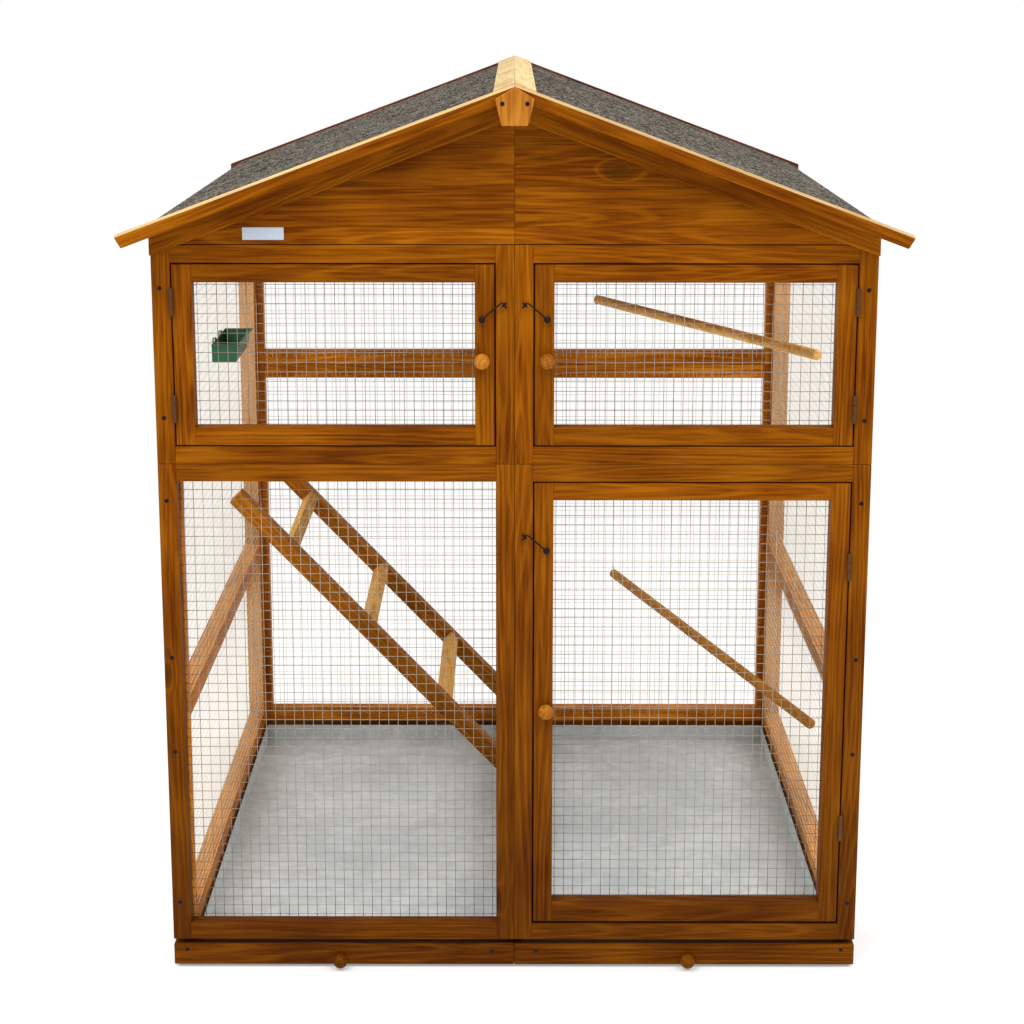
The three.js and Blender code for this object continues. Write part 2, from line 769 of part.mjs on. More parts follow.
// Perches: a dowel with a screw hook that hangs on a bar of the back net
const netFace = panelDepth - rebateDepth + seat / 2 + netThickness;
const netInnerBack = bodyDepth - netFace;
const netInnerRight = halfWidth - netFace;
function perch(start, lift, endHeight, behind, backMeshes, bars, beside, sideMeshes, columns) {
  const backOpen = windowOf(behind);
  const level = barPlaces(backOpen.w0, backOpen.w1, backMeshes[1])[bars];
  const sideOpen = windowOf(beside);
  const endY = barPlaces(sideOpen.u0, sideOpen.u1, sideMeshes[0])[columns];
  const gapToNet = perchHookShank + perchHookRing * 2;
  const top = [start, netInnerBack - gapToNet, level + lift];
  const foot = [netInnerRight - seat, endY, endHeight];
  const run = new THREE.Vector3(...foot).sub(new THREE.Vector3(...top)).normalize();
  const reach = perchRadius * Math.sqrt(1 - run.x ** 2) / run.x;
  const end = new THREE.Vector3(...foot).addScaledVector(run, -reach);
  const dowel = bar(top, end.toArray(), perchRadius);
  const hang = new THREE.CatmullRomCurve3([
    new THREE.Vector3(start + run.x * perchRadius, top[1] - perchRadius, top[2]),
    new THREE.Vector3(start, top[1] + perchHookShank, top[2]),
    new THREE.Vector3(start, netInnerBack - perchHookRing, level + netWire),
    new THREE.Vector3(start, netInnerBack + netThickness / 2, level + perchHookRing),
    new THREE.Vector3(start, netInnerBack + netThickness + perchHookWire * 2, level),
  ]);
  return join(dowel, wire(hang, perchHookWire, 20));
}
const upperPerch = perch(
  upperPerchStart,
  netWire,
  upperPerchEndHeight,
  panels.backUpper,
  netMeshes.backUpper,
  upperPerchBarCount,
  panels.rightUpper,
  netMeshes.sideUpper,
  upperPerchColumnCount,
);
const lowerPerch = perch(
  lowerPerchStart,
  -netWire,
  lowerPerchEndHeight,
  panels.backLower,
  netMeshes.backLower,
  lowerPerchBarCount,
  panels.rightLower,
  netMeshes.sideLower,
  lowerPerchColumnCount,
);
place("perch_upper", upperPerch, beech);
place("perch_lower", lowerPerch, beech);

// Ladder: two stringers from the left net down to the centre runner, with flat rungs between them
const ladderTop = [-netInnerRight + seat, ladderTopHeight];
const ladderFoot = [0, centreRunnerHeight + seat];
const ladderRun = Math.hypot(ladderFoot[0] - ladderTop[0], ladderTop[1] - ladderFoot[1]);
const ladderAlong = [(ladderFoot[0] - ladderTop[0]) / ladderRun, (ladderFoot[1] - ladderTop[1]) / ladderRun];
const ladderUp = [-ladderAlong[1], ladderAlong[0]];
const onLadder = (along, up) => [
  ladderTop[0] + ladderAlong[0] * along + ladderUp[0] * up,
  ladderTop[1] + ladderAlong[1] * along + ladderUp[1] * up,
];
const ladderBack = netInnerBack - ladderBackGap;
const ladderFront = ladderBack - ladderWidth;
const footCut = (stringerDepth * ladderAlong[0]) / -ladderAlong[1];
const stringer = [
  onLadder(0, 0),
  onLadder(ladderRun, 0),
  onLadder(ladderRun + footCut, stringerDepth),
  onLadder(0, stringerDepth),
];
const stringers = [
  alongY(stringer, ladderFront, ladderFront + stringerThickness),
  alongY(stringer, ladderBack - stringerThickness, ladderBack),
];
const rungs = Array.from({ length: rungCount }, (_, i) => {
  const [from, to] = [firstRung + i * rungPitch - rungWidth / 2, firstRung + i * rungPitch + rungWidth / 2];
  const [low, high] = [stringerDepth - rungDepth, stringerDepth - leafSink];
  const square = [onLadder(from, low), onLadder(to, low), onLadder(to, high), onLadder(from, high)];
  return alongY(square, ladderFront + stringerThickness / 2, ladderBack - stringerThickness / 2);
});
place("ladder", join(...stringers, ...rungs), beech);

// Feeder: a tapered trough with a rim and two hooks that hang over a bar of the left net
const feederOpen = windowOf(panels.leftUpper);
const feederLevel = barPlaces(feederOpen.w0, feederOpen.w1, netMeshes.sideUpper[1])[feederBarCount];
const netInnerLeft = -netInnerRight;
function trough(inset, lift) {
  const x0 = netInnerLeft + seat + inset;
  const x1 = netInnerLeft + seat + feederWidth - inset;
  const y0 = feederStart + inset;
  const y1 = feederStart + feederLength - inset;
  const high = feederLevel + (lift ? overrun : 0);
  const low = feederLevel - feederHeight + lift;
  const points = [
    [x0, y0, high],
    [x1, y0, high],
    [x1, y1, high],
    [x0, y1, high],
    [x0, y0 + feederTaper, low],
    [x1 - feederTaper, y0 + feederTaper, low],
    [x1 - feederTaper, y1 - feederTaper, low],
    [x0, y1 - feederTaper, low],
  ];
  return solid(new ConvexGeometry(points.map((p) => new THREE.Vector3(...p))));
}
const rimOut = block(
  netInnerLeft + seat,
  netInnerLeft + seat + feederWidth + feederRim,
  feederStart - feederRim,
  feederStart + feederLength + feederRim,
  feederLevel - feederWall,
  feederLevel,
);
const hangers = [feederHookInset, feederLength - feederHookInset].map((inset) => {
  const y0 = feederStart + inset - feederHookWidth / 2;
  const back = netInnerLeft - netThickness - seat;
  const over = feederLevel + netWire / 2 + seat;
  const strap = [
    [netInnerLeft + seat, feederLevel - feederWall],
    [netInnerLeft + seat + feederWall, feederLevel - feederWall],
    [netInnerLeft + seat + feederWall, over + feederWall],
    [back - feederWall, over + feederWall],
    [back - feederWall, over - feederHookDrop],
    [back, over - feederHookDrop],
    [back, over],
    [netInnerLeft + seat, over],
  ];
  return alongY(strap, y0, y0 + feederHookWidth);
});
const feeder = join(cut(join(trough(0, 0), rimOut), trough(feederWall, feederWall)), ...hangers);
place("feeder", feeder, greenPlastic);

export default aviary;
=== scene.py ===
# Garden aviary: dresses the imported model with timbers, welded mesh, roofing felt and fittings.
import math
import random

import bmesh
import bpy
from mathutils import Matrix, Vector


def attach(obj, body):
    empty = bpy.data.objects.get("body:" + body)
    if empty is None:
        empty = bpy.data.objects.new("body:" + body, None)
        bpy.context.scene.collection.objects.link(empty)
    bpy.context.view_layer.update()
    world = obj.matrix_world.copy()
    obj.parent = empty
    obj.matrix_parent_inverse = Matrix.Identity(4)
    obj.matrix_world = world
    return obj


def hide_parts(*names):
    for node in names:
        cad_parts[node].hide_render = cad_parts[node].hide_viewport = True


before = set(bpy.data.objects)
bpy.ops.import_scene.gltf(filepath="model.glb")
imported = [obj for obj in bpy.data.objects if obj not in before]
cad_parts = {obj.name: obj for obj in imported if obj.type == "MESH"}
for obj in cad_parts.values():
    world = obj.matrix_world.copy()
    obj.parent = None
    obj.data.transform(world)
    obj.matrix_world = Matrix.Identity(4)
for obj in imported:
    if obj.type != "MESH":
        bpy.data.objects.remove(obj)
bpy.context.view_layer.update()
print("model loaded")

mm = 0.001
dice = random.Random(7)

# The model's sizes that the dressing follows: millimetres, y from the cabin's middle
cabin = {
    "halfWidth": 465,
    "halfDepth": 490,
    "panel": 26,
    "base": 41,
    "stile": 24,
    "rail": 23,
    "fit": 0.15,
}
roof = {
    "rise": 0.3721,
    "ridge": 1186.57,
    "front": -516.7,
    "back": 510,
    "edge": 463,
    "reach": 503,
    "rearReach": 481,
    "under": 11.74,
}
slope = math.atan(roof["rise"])
halfWidth, halfDepth, fit = cabin["halfWidth"], cabin["halfDepth"], cabin["fit"]
bothSides = ((-1, "left"), (1, "right"))


def roofAt(x):
    return roof["ridge"] - roof["rise"] * abs(x)


# Materials


def toLinear(code):
    parts = [int(code[i : i + 2], 16) / 255 for i in (1, 3, 5)]
    return [p / 12.92 if p <= 0.04045 else ((p + 0.055) / 1.055) ** 2.4 for p in parts] + [1.0]


def addNode(tree, kind, inputs=None, stops=(), **settings):
    # one node: its settings, its inputs as {name or number: socket or value}, and a ramp's stops
    made = tree.nodes.new(kind)
    for key, value in settings.items():
        if hasattr(made, key):
            setattr(made, key, value)
        else:
            made.inputs[key.replace("_", " ")].default_value = value
    for key, value in (inputs or {}).items():
        if isinstance(value, bpy.types.NodeSocket):
            tree.links.new(value, made.inputs[key])
        else:
            made.inputs[key].default_value = value
    for i, (place, code) in enumerate(stops):
        stop = made.color_ramp.elements[i] if i < 2 else made.color_ramp.elements.new(place)
        stop.position = place
        stop.color = toLinear(code)
    return made


def startMaterial(name, **settings):
    made = bpy.data.materials.new(name)
    made.use_nodes = True
    tree = made.node_tree
    shader = tree.nodes["Principled BSDF"]
    for key, value in settings.items():
        shader.inputs[key.replace("_", " ")].default_value = value
    return made, tree, shader


# Softwood, sawn and planed, under a brown stain: long fibres, fine light rings among them, a few knots.
# A stretch draws a pattern out along the grain, and a higher scale makes it finer
pineLook = {
    "fibreStretch": 26,
    "ringStretch": 14,
    "knotStretch": 1.7,
    "fibreScale": 380,
    "ringScale": 15,
    "knotScale": 8,
    "blotchScale": 6,
    "logStep": (3.1, 5.3, 7.7),
    "ringsPerSwing": 120,
    "ringSpan": {"From_Min": 0.1, "From_Max": 1.0},
    "knotSpan": {"From_Min": 0.03, "From_Max": 0.2, "To_Min": 1.0, "To_Max": 0.0},
    "knotShade": {"From_Min": 0.5, "To_Max": 0.6},
    "knotBend": 0.07,
    "ringShare": -0.4,
    "fibreShare": 1.1,
    "figureSpan": {"From_Min": 0.64, "From_Max": 1.32},
    "boardShades": {"To_Min": 0.86, "To_Max": 1.12},
    "footSpan": {"From_Min": -0.05, "From_Max": 0.8},
    "roughness": {"To_Min": 0.34, "To_Max": 0.6},
    "shine": 0.04,
}
grainTurns = {
    "X": (0, 0, 0),
    "Y": (0, 0, math.pi / 2),
    "Z": (0, -math.pi / 2, 0),
    "Left": (0, -slope, 0),
    "Right": (0, slope, 0),
    "Ladder": (0, math.radians(46.4), 0),
}


def pineMaterial(name, turn, tones, footShade=1.0):
    look = pineLook
    made, tree, shader = startMaterial(name, Specular_IOR_Level=look["shine"])
    place = addNode(tree, "ShaderNodeTexCoord").outputs["Object"]
    tone = addNode(tree, "ShaderNodeAttribute", attribute_name="tone").outputs["Fac"]
    # each timber is cut from another part of the log, its patterns drawn out along the grain
    shift = addNode(tree, "ShaderNodeVectorMath", {0: look["logStep"], "Scale": tone}, operation="SCALE")
    moved = addNode(tree, "ShaderNodeVectorMath", {0: place, 1: shift.outputs["Vector"]}, operation="ADD")
    log, drawn = moved.outputs["Vector"], {}
    for part in ("fibre", "ring", "knot"):
        drawn[part] = addNode(
            tree,
            "ShaderNodeMapping",
            {"Vector": log},
            vector_type="TEXTURE",
            Rotation=turn,
            Scale=(look[part + "Stretch"], 1, 1),
        ).outputs["Vector"]
    cells = addNode(tree, "ShaderNodeTexVoronoi", {"Vector": drawn["knot"]}, Scale=look["knotScale"])
    near = {"Value": cells.outputs["Distance"]}
    knot = addNode(
        tree, "ShaderNodeMapRange", near, interpolation_type="SMOOTHSTEP", **look["knotSpan"]
    ).outputs["Result"]
    # the rings are the contours of a slow swell, and bend round the knots
    swell = addNode(
        tree, "ShaderNodeTexNoise", {"Vector": drawn["ring"]}, Scale=look["ringScale"], Detail=1.5
    ).outputs["Fac"]
    bent = addNode(
        tree, "ShaderNodeMath", {0: knot, 1: look["knotBend"], 2: swell}, operation="MULTIPLY_ADD"
    ).outputs["Value"]
    swing = addNode(
        tree, "ShaderNodeMath", {0: bent, 1: look["ringsPerSwing"]}, operation="MULTIPLY"
    ).outputs["Value"]
    wave = addNode(tree, "ShaderNodeMath", {0: swing}, operation="SINE").outputs["Value"]
    ring = addNode(
        tree, "ShaderNodeMapRange", {"Value": wave}, interpolation_type="SMOOTHSTEP", **look["ringSpan"]
    ).outputs["Result"]
    fibre = addNode(
        tree, "ShaderNodeTexNoise", {"Vector": drawn["fibre"]}, Scale=look["fibreScale"], Detail=3.0
    ).outputs["Fac"]
    blotch = addNode(
        tree, "ShaderNodeTexNoise", {"Vector": log}, Scale=look["blotchScale"], Detail=2.0
    ).outputs["Fac"]
    # the fibres break the rings up, and blotches of stain lie under both
    mixed = addNode(tree, "ShaderNodeMath", {0: ring, 1: fibre}, operation="MULTIPLY").outputs["Value"]
    under = addNode(
        tree, "ShaderNodeMath", {0: mixed, 1: look["ringShare"], 2: blotch}, operation="MULTIPLY_ADD"
    ).outputs["Value"]
    streaks = addNode(
        tree, "ShaderNodeMath", {0: fibre, 1: look["fibreShare"], 2: under}, operation="MULTIPLY_ADD"
    ).outputs["Value"]
    depth = addNode(tree, "ShaderNodeMapRange", {"Value": streaks}, **look["figureSpan"]).outputs["Result"]
    wood = addNode(tree, "ShaderNodeValToRGB", {"Fac": depth}, zip((0.0, 0.5, 1.0), tones)).outputs["Color"]
    dark = addNode(tree, "ShaderNodeMapRange", {"Value": knot}, **look["knotShade"]).outputs["Result"]
    knotted = addNode(
        tree, "ShaderNodeMixRGB", {"Fac": dark, "Color1": wood, "Color2": toLinear(tones[3])}
    ).outputs["Color"]
    # boards differ in shade, and some timbers are darker near the ground
    shade = addNode(tree, "ShaderNodeMapRange", {"Value": tone}, **look["boardShades"]).outputs["Result"]
    height = addNode(tree, "ShaderNodeSeparateXYZ", {"Vector": place}).outputs["Z"]
    foot = addNode(
        tree,
        "ShaderNodeMapRange",
        {"Value": height},
        interpolation_type="SMOOTHSTEP",
        To_Min=footShade,
        **look["footSpan"],
    ).outputs["Result"]
    level = addNode(tree, "ShaderNodeMath", {0: shade, 1: foot}, operation="MULTIPLY").outputs["Value"]
    final = addNode(tree, "ShaderNodeVectorMath", {0: knotted, "Scale": level}, operation="SCALE")
    rough = addNode(tree, "ShaderNodeMapRange", {"Value": fibre}, **look["roughness"])
    bump = addNode(tree, "ShaderNodeBump", {"Height": mixed}, Strength=0.25, Distance=0.0004)
    tree.links.new(final.outputs["Vector"], shader.inputs["Base Color"])
    tree.links.new(rough.outputs["Result"], shader.inputs["Roughness"])
    tree.links.new(bump.outputs["Normal"], shader.inputs["Normal"])
    return made


# Each finish: the light wood, the middle, the dark, and last the knots
stainTones = ["#965705", "#7C4101", "#5C2A00", "#2E1402"]
# amber: the stain painted lighter, as painted light, for the inner faces of the side frames; the ladder takes the
# same tones
amberTones = ["#D0841F", "#B26912", "#8E4E08", "#3A1B08"]
darkTones = ["#6E3C28", "#552C1C", "#3A1E13", "#1C0F0A"]
paleTones = ["#CEBA8A", "#C3AA78", "#B2925C", "#8A5E30"]
# edge: bare planed wood painted paler as a painted highlight, for the fascia's rounded top edge
edgeTones = ["#C4A676", "#B99866", "#A88554", "#8A5E30"]
battenTones = ["#CFA050", "#BE8A3A", "#A37026", "#5E3A14"]
knobTones = ["#B4762C", "#A0631E", "#804812", "#5E3210"]
# one bare dowel wood, painted lighter on the upper perch against the roof's shadow and darker on the lower: painted
# light and painted shade
dowelTones = {
    "upper": ["#EDC27C", "#DDAA5E", "#C08A40", "#8A5424"],
    "lower": ["#C08A3E", "#AC7430", "#8E5A1E", "#5E3412"],
}
# rear: the stain painted lighter, as painted light, for the inner faces of the back frames
rearTones = ["#D08422", "#AE6413", "#80420A", "#2E1402"]


def woodSet(name, keys, tones, footShade=1.0):
    # one finish with the grain along each of the named turns
    return {key: pineMaterial(name + "_" + key, grainTurns[key], tones, footShade) for key in keys}


stained = woodSet("stained_pine", ("X", "Y", "Z", "Left", "Right"), stainTones, footShade=0.52)
amber = woodSet("lit_amber_pine", ("Y", "Z"), amberTones)
darkStain = woodSet("dark_stain", ("Left", "Right"), darkTones)
barePine = pineMaterial("bare_pine_Y", grainTurns["Y"], paleTones)
edgePine = woodSet("planed_highlight_pine", ("Left", "Right"), edgeTones)
rearStain = woodSet("lit_rear_pine", ("X", "Z"), rearTones)
dowelWood = {key: pineMaterial("light_and_shade_dowel_" + key, grainTurns["Y"], tones) for key, tones in dowelTones.items()}
ladderWood = pineMaterial("ladder_pine", grainTurns["Ladder"], amberTones, footShade=0.5)
batten = pineMaterial("bare_batten", grainTurns["Y"], battenTones)
knobWood = woodSet("varnished_beech", ("Y", "Z"), knobTones)

# Hot-dip zinc on rolled steel: soft crystal spangles with a dull shine
zincLook = {
    "crystalScale": 70.0,
    "cloudScale": 5.0,
    "crystalShare": 0.3,
    "stops": [(0.3, "#ACB3B4"), (0.65, "#BEC4C4"), (1.0, "#D2D7D6")],
    "roughness": {"To_Min": 0.38, "To_Max": 0.55},
}


def galvanisedSheet():
    look = zincLook
    made, tree, shader = startMaterial("galvanised_sheet", Metallic=0.2)
    place = addNode(tree, "ShaderNodeTexCoord").outputs["Object"]
    crystal = addNode(tree, "ShaderNodeTexVoronoi", {"Vector": place}, Scale=look["crystalScale"])
    cloud = addNode(
        tree, "ShaderNodeTexNoise", {"Vector": place}, Scale=look["cloudScale"], Detail=4.0
    ).outputs["Fac"]
    tint = addNode(tree, "ShaderNodeSeparateColor", {"Color": crystal.outputs["Color"]}).outputs["Red"]
    both = addNode(tree, "ShaderNodeMath", {0: tint, 1: look["crystalShare"], 2: cloud}, operation="MULTIPLY_ADD")
    color = addNode(tree, "ShaderNodeValToRGB", {"Fac": both.outputs["Value"]}, look["stops"])
    rough = addNode(tree, "ShaderNodeMapRange", {"Value": tint}, **look["roughness"])
    tree.links.new(color.outputs["Color"], shader.inputs["Base Color"])
    tree.links.new(rough.outputs["Result"], shader.inputs["Roughness"])
    return made


# Plated or drawn steel: fine wear that shows in the roughness, and as a faint change of colour
wearLook = {"scale": 260.0, "levels": {"To_Min": 0.76, "To_Max": 1.12}, "smoother": 0.1, "rougher": 0.12}


def metalMaterial(name, code, roughness, metallic, shine=0.5):
    look = wearLook
    made, tree, shader = startMaterial(name, Metallic=metallic, Specular_IOR_Level=shine)
    place = addNode(tree, "ShaderNodeTexCoord").outputs["Object"]
    wear = addNode(tree, "ShaderNodeTexNoise", {"Vector": place}, Scale=look["scale"], Detail=4.0).outputs["Fac"]
    level = addNode(tree, "ShaderNodeMapRange", {"Value": wear}, **look["levels"]).outputs["Result"]
    tinted = addNode(tree, "ShaderNodeVectorMath", {0: toLinear(code)[:3], "Scale": level}, operation="SCALE")
    rough = addNode(
        tree,
        "ShaderNodeMapRange",
        {"Value": wear},
        To_Min=roughness - look["smoother"],
        To_Max=roughness + look["rougher"],
    )
    tree.links.new(tinted.outputs["Vector"], shader.inputs["Base Color"])
    tree.links.new(rough.outputs["Result"], shader.inputs["Roughness"])
    return made


# Bitumen felt faced with crushed slate, without shine. The granules are drawn 3 mm wide, so that they show
feltLook = {
    "gritScale": 300.0,
    "cloudScale": 9.0,
    "cloudShare": 0.5,
    "stops": [(0.3, "#060606"), (0.6, "#171615"), (0.82, "#48443F"), (1.0, "#7E766A")],
}


def feltMaterial():
    look = feltLook
    made, tree, shader = startMaterial("slate_felt", Roughness=0.95, Specular_IOR_Level=0.03)
    place = addNode(tree, "ShaderNodeTexCoord").outputs["Object"]
    grit = addNode(tree, "ShaderNodeTexVoronoi", {"Vector": place}, Scale=look["gritScale"])
    grain = addNode(tree, "ShaderNodeSeparateColor", {"Color": grit.outputs["Color"]}).outputs["Green"]
    cloud = addNode(
        tree, "ShaderNodeTexNoise", {"Vector": place}, Scale=look["cloudScale"], Detail=5.0
    ).outputs["Fac"]
    both = addNode(tree, "ShaderNodeMath", {0: cloud, 1: look["cloudShare"], 2: grain}, operation="MULTIPLY_ADD")
    color = addNode(tree, "ShaderNodeValToRGB", {"Fac": both.outputs["Value"]}, look["stops"])
    bump = addNode(tree, "ShaderNodeBump", {"Height": grit.outputs["Distance"]}, Strength=0.6, Distance=0.0008)
    tree.links.new(color.outputs["Color"], shader.inputs["Base Color"])
    tree.links.new(bump.outputs["Normal"], shader.inputs["Normal"])
    return made


def plasticMaterial(name, code, roughness):
    # moulded polypropylene: even colour, fine orange peel, broad soft highlights
    made, tree, shader = startMaterial(name, Roughness=roughness, IOR=1.49)
    place = addNode(tree, "ShaderNodeTexCoord").outputs["Object"]
    peel = addNode(tree, "ShaderNodeTexNoise", {"Vector": place}, Scale=380.0, Detail=2.0).outputs["Fac"]
    level = addNode(tree, "ShaderNodeMapRange", {"Value": peel}, To_Min=0.88, To_Max=1.1).outputs["Result"]
    tinted = addNode(tree, "ShaderNodeVectorMath", {0: toLinear(code)[:3], "Scale": level}, operation="SCALE")
    bump = addNode(tree, "ShaderNodeBump", {"Height": peel}, Strength=0.1, Distance=0.0003)
    tree.links.new(tinted.outputs["Vector"], shader.inputs["Base Color"])
    tree.links.new(bump.outputs["Normal"], shader.inputs["Normal"])
    return made


zincSheet = galvanisedSheet()
zincWire = metalMaterial("galvanised_wire", "#9C9281", 0.42, 0.35)
# the side and back wires painted warm and pale: a painted reflection of the stained wood and the light around them
warmWire = metalMaterial("warm_reflection_wire", "#E6D4AE", 0.5, 0.1)
blackSteel = metalMaterial("blackened_steel", "#0D0A09", 0.5, 0.0, shine=0.2)
bronzeSteel = metalMaterial("bronzed_steel", "#5A3413", 0.5, 0.5)
slateFelt = feltMaterial()
greenPlastic = plasticMaterial("green_polypropylene", "#19603A", 0.35)
platePlastic = plasticMaterial("pale_plate", "#B4C1CD", 0.4)
print("materials made")

# Modelling helpers


def clearSelection():
    bpy.ops.object.select_all(action="DESELECT")


def activate(piece):
    clearSelection()
    piece.select_set(True)
    bpy.context.view_layer.objects.active = piece


def setTone(piece):
    # a number that gives each timber its own shade and its own part of the log
    tone = dice.random()
    made = piece.data.attributes.new("tone", "FLOAT", "POINT")
    made.data.foreach_set("value", [tone] * len(piece.data.vertices))


def applyModifier(piece, kind, **settings):
    made = piece.modifiers.new(kind.lower(), kind)
    for key, value in settings.items():
        setattr(made, key, value)
    bpy.ops.object.modifier_apply(modifier=made.name)


def pull(piece, test, offset):
    # moves the corners that the test picks, in edit mode
    mesh = bmesh.from_edit_mesh(piece.data)
    bpy.ops.mesh.select_all(action="DESELECT")
    for corner in mesh.verts:
        corner.select = test(corner.co / mm)
    mesh.select_flush(True)
    bmesh.update_edit_mesh(piece.data)
    bpy.ops.transform.translate(value=[o * mm for o in offset])


def addBlock(name, low, high, finish, soft=0.8, pulls=(), cuts=(), turn=None, segments=2, split=False):
    # a timber: cut to length, pulled or sawn to its angles, edges eased
    clearSelection()
    middle = [(a + b) / 2 * mm for a, b in zip(low, high)]
    size = [(b - a) * mm for a, b in zip(low, high)]
    bpy.ops.mesh.primitive_cube_add(size=1, location=middle, scale=size)
    piece = bpy.context.active_object
    if turn:
        piece.rotation_euler = turn
    bpy.ops.object.transform_apply(location=True, rotation=True, scale=True)
    if pulls or cuts:
        bpy.ops.object.mode_set(mode="EDIT")
        if split:
            bpy.ops.mesh.select_all(action="SELECT")
            bpy.ops.mesh.bisect(plane_co=(0, 0, 0), plane_no=(1, 0, 0))
        for test, offset in pulls:
            pull(piece, test, offset)
        for point, normal in cuts:
            bpy.ops.mesh.select_all(action="SELECT")
            bpy.ops.mesh.bisect(
                plane_co=[p * mm for p in point], plane_no=normal, use_fill=True, clear_outer=True
            )
        bpy.ops.object.mode_set(mode="OBJECT")
    if soft:
        applyModifier(
            piece, "BEVEL", width=soft * mm, segments=segments, limit_method="ANGLE", angle_limit=math.radians(25)
        )
    piece.name = name
    piece.data.materials.append(finish)
    setTone(piece)
    return piece


def joinPieces(name, parts):
    activate(parts[0])
    for part in parts:
        part.select_set(True)
    if len(parts) > 1:
        bpy.ops.object.join()
    whole = bpy.context.active_object
    whole.name = name
    whole.data.name = name
    return whole


def copyPiece(piece, name, offset):
    made = piece.copy()
    made.data = piece.data.copy()
    bpy.context.collection.objects.link(made)
    made.name = name
    for corner in made.data.vertices:
        corner.co = corner.co + Vector(offset) * mm
    return made


def smooth(piece, angle=40):
    activate(piece)
    bpy.ops.object.shade_smooth_by_angle(angle=math.radians(angle))


def addTurned(name, foot, axis, stations, finish, sides=32):
    # turned on a lathe: rings of a radius at each distance along the axis
    clearSelection()
    direction = Vector(axis).normalized()
    start = Vector(foot) * mm
    turn = Vector((0, 0, 1)).rotation_difference(direction).to_euler()
    first = stations[0]
    bpy.ops.mesh.primitive_circle_add(
        vertices=sides,
        radius=first[1] * mm,
        fill_type="NGON",
        location=start + direction * first[0] * mm,
        rotation=turn,
    )
    piece = bpy.context.active_object
    bpy.ops.object.transform_apply(location=True, rotation=True, scale=True)
    bpy.ops.object.mode_set(mode="EDIT")
    bpy.ops.mesh.select_all(action="SELECT")
    for (before, lastRadius), (after, radius) in zip(stations, stations[1:]):
        step = direction * (after - before) * mm
        bpy.ops.mesh.extrude_region_move(TRANSFORM_OT_translate={"value": step})
        ratio = radius / lastRadius
        centre = start + direction * after * mm
        bpy.ops.transform.resize(value=(ratio, ratio, ratio), center_override=centre)
    bpy.ops.mesh.select_all(action="SELECT")
    bpy.ops.mesh.normals_make_consistent(inside=False)
    bpy.ops.object.mode_set(mode="OBJECT")
    piece.name = name
    piece.data.materials.append(finish)
    setTone(piece)
    smooth(piece)
    return piece


def addWire(name, points, radius, finish, closed=False):
    # bent wire along a path
    clearSelection()
    line = bpy.data.curves.new(name, "CURVE")
    line.dimensions = "3D"
    line.bevel_depth = radius * mm
    line.bevel_resolution = 3
    line.use_fill_caps = not closed
    path = line.splines.new("POLY")
    path.points.add(len(points) - 1)
    for spot, place in zip(path.points, points):
        spot.co = [p * mm for p in place] + [1]
    path.use_cyclic_u = closed
    piece = bpy.data.objects.new(name, line)
    bpy.context.collection.objects.link(piece)
    activate(piece)
    bpy.ops.object.convert(target="MESH")
    piece = bpy.context.active_object
    piece.data.materials.append(finish)
    setTone(piece)
    smooth(piece, 60)
    return piece


def ringPoints(centre, radius, first, second, count=28, start=0.0, sweep=2 * math.pi):
    spots = []
    for i in range(count):
        angle = start + sweep * i / count
        across, up = radius * math.cos(angle), radius * math.sin(angle)
        spots.append([c + across * a + up * b for c, a, b in zip(centre, first, second)])
    return spots


def dress(piece, body, slot, *nodes):
    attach(piece, body)
    if nodes:
        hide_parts(*nodes)


# The four walls: u along the wall, v from its outer face inwards, w up
def onWall(wall, u, v, w):
    if wall == "front":
        return (u, v - halfDepth, w)
    if wall == "back":
        return (u, halfDepth - v, w)
    if wall == "left":
        return (v - halfWidth, u, w)
    return (halfWidth - v, u, w)


def wallBlock(name, wall, us, vs, ws, finish, **settings):
    one = onWall(wall, us[0], vs[0], ws[0])
    two = onWall(wall, us[1], vs[1], ws[1])
    low = [min(a, b) for a, b in zip(one, two)]
    high = [max(a, b) for a, b in zip(one, two)]
    return addBlock(name, low, high, finish, **settings)


# Panels and doors: frames of two stiles with rails between them
sideRun = halfDepth - cabin["panel"] - 2 * fit
lowSide = {"u": (-sideRun, sideRun), "w": (41, 357), "rail": 12, "foot": 23}
highSide = {"u": (-sideRun, sideRun), "w": (357.3, 1001.1), "foot": 12}
backPanel = {"wall": "back", "u": (-halfWidth, halfWidth), "stile": 38, "middle": 24}
panels = {}
for word, ws in (("lower", (41, 704)), ("upper", (704.3, 989.5))):
    panels["front_frame_" + word + "_left"] = {"wall": "front", "u": (-halfWidth, -fit), "w": ws}
    panels["front_frame_" + word + "_right"] = {"wall": "front", "u": (fit, halfWidth), "w": ws}
for wall in ("left", "right"):
    panels["side_frame_" + wall + "_lower"] = {"wall": wall, **lowSide}
    panels["side_frame_" + wall + "_upper"] = {"wall": wall, **highSide}
panels["back_frame_lower"] = {"w": (41, 678), **backPanel}
panels["back_frame_upper"] = {"w": (678.3, 989.5), **backPanel}
upperDoor = {"wall": "front", "w": (729.3, 964.5), "stile": 25, "hinge": (48, 48), "hook": 70, "knob": 841}
lowerDoor = {"wall": "front", "w": (67.5, 679), "stile": 25, "foot": 28, "hinge": (136, 112), "hook": 90}
doors = {
    "upper_left": {"side": -1, "u": (-439, -26.15), **upperDoor},
    "upper_right": {"side": 1, "u": (26.15, 439), **upperDoor},
    "lower_right": {"side": 1, "u": (26.15, 439), "knob": 369.5, **lowerDoor},
}


def windowOf(panel):
    stile = panel.get("stile", cabin["stile"])
    rail = panel.get("rail", cabin["rail"])
    low, high = panel["u"]
    return (low + stile, high - stile), (panel["w"][0] + panel.get("foot", rail), panel["w"][1] - rail)


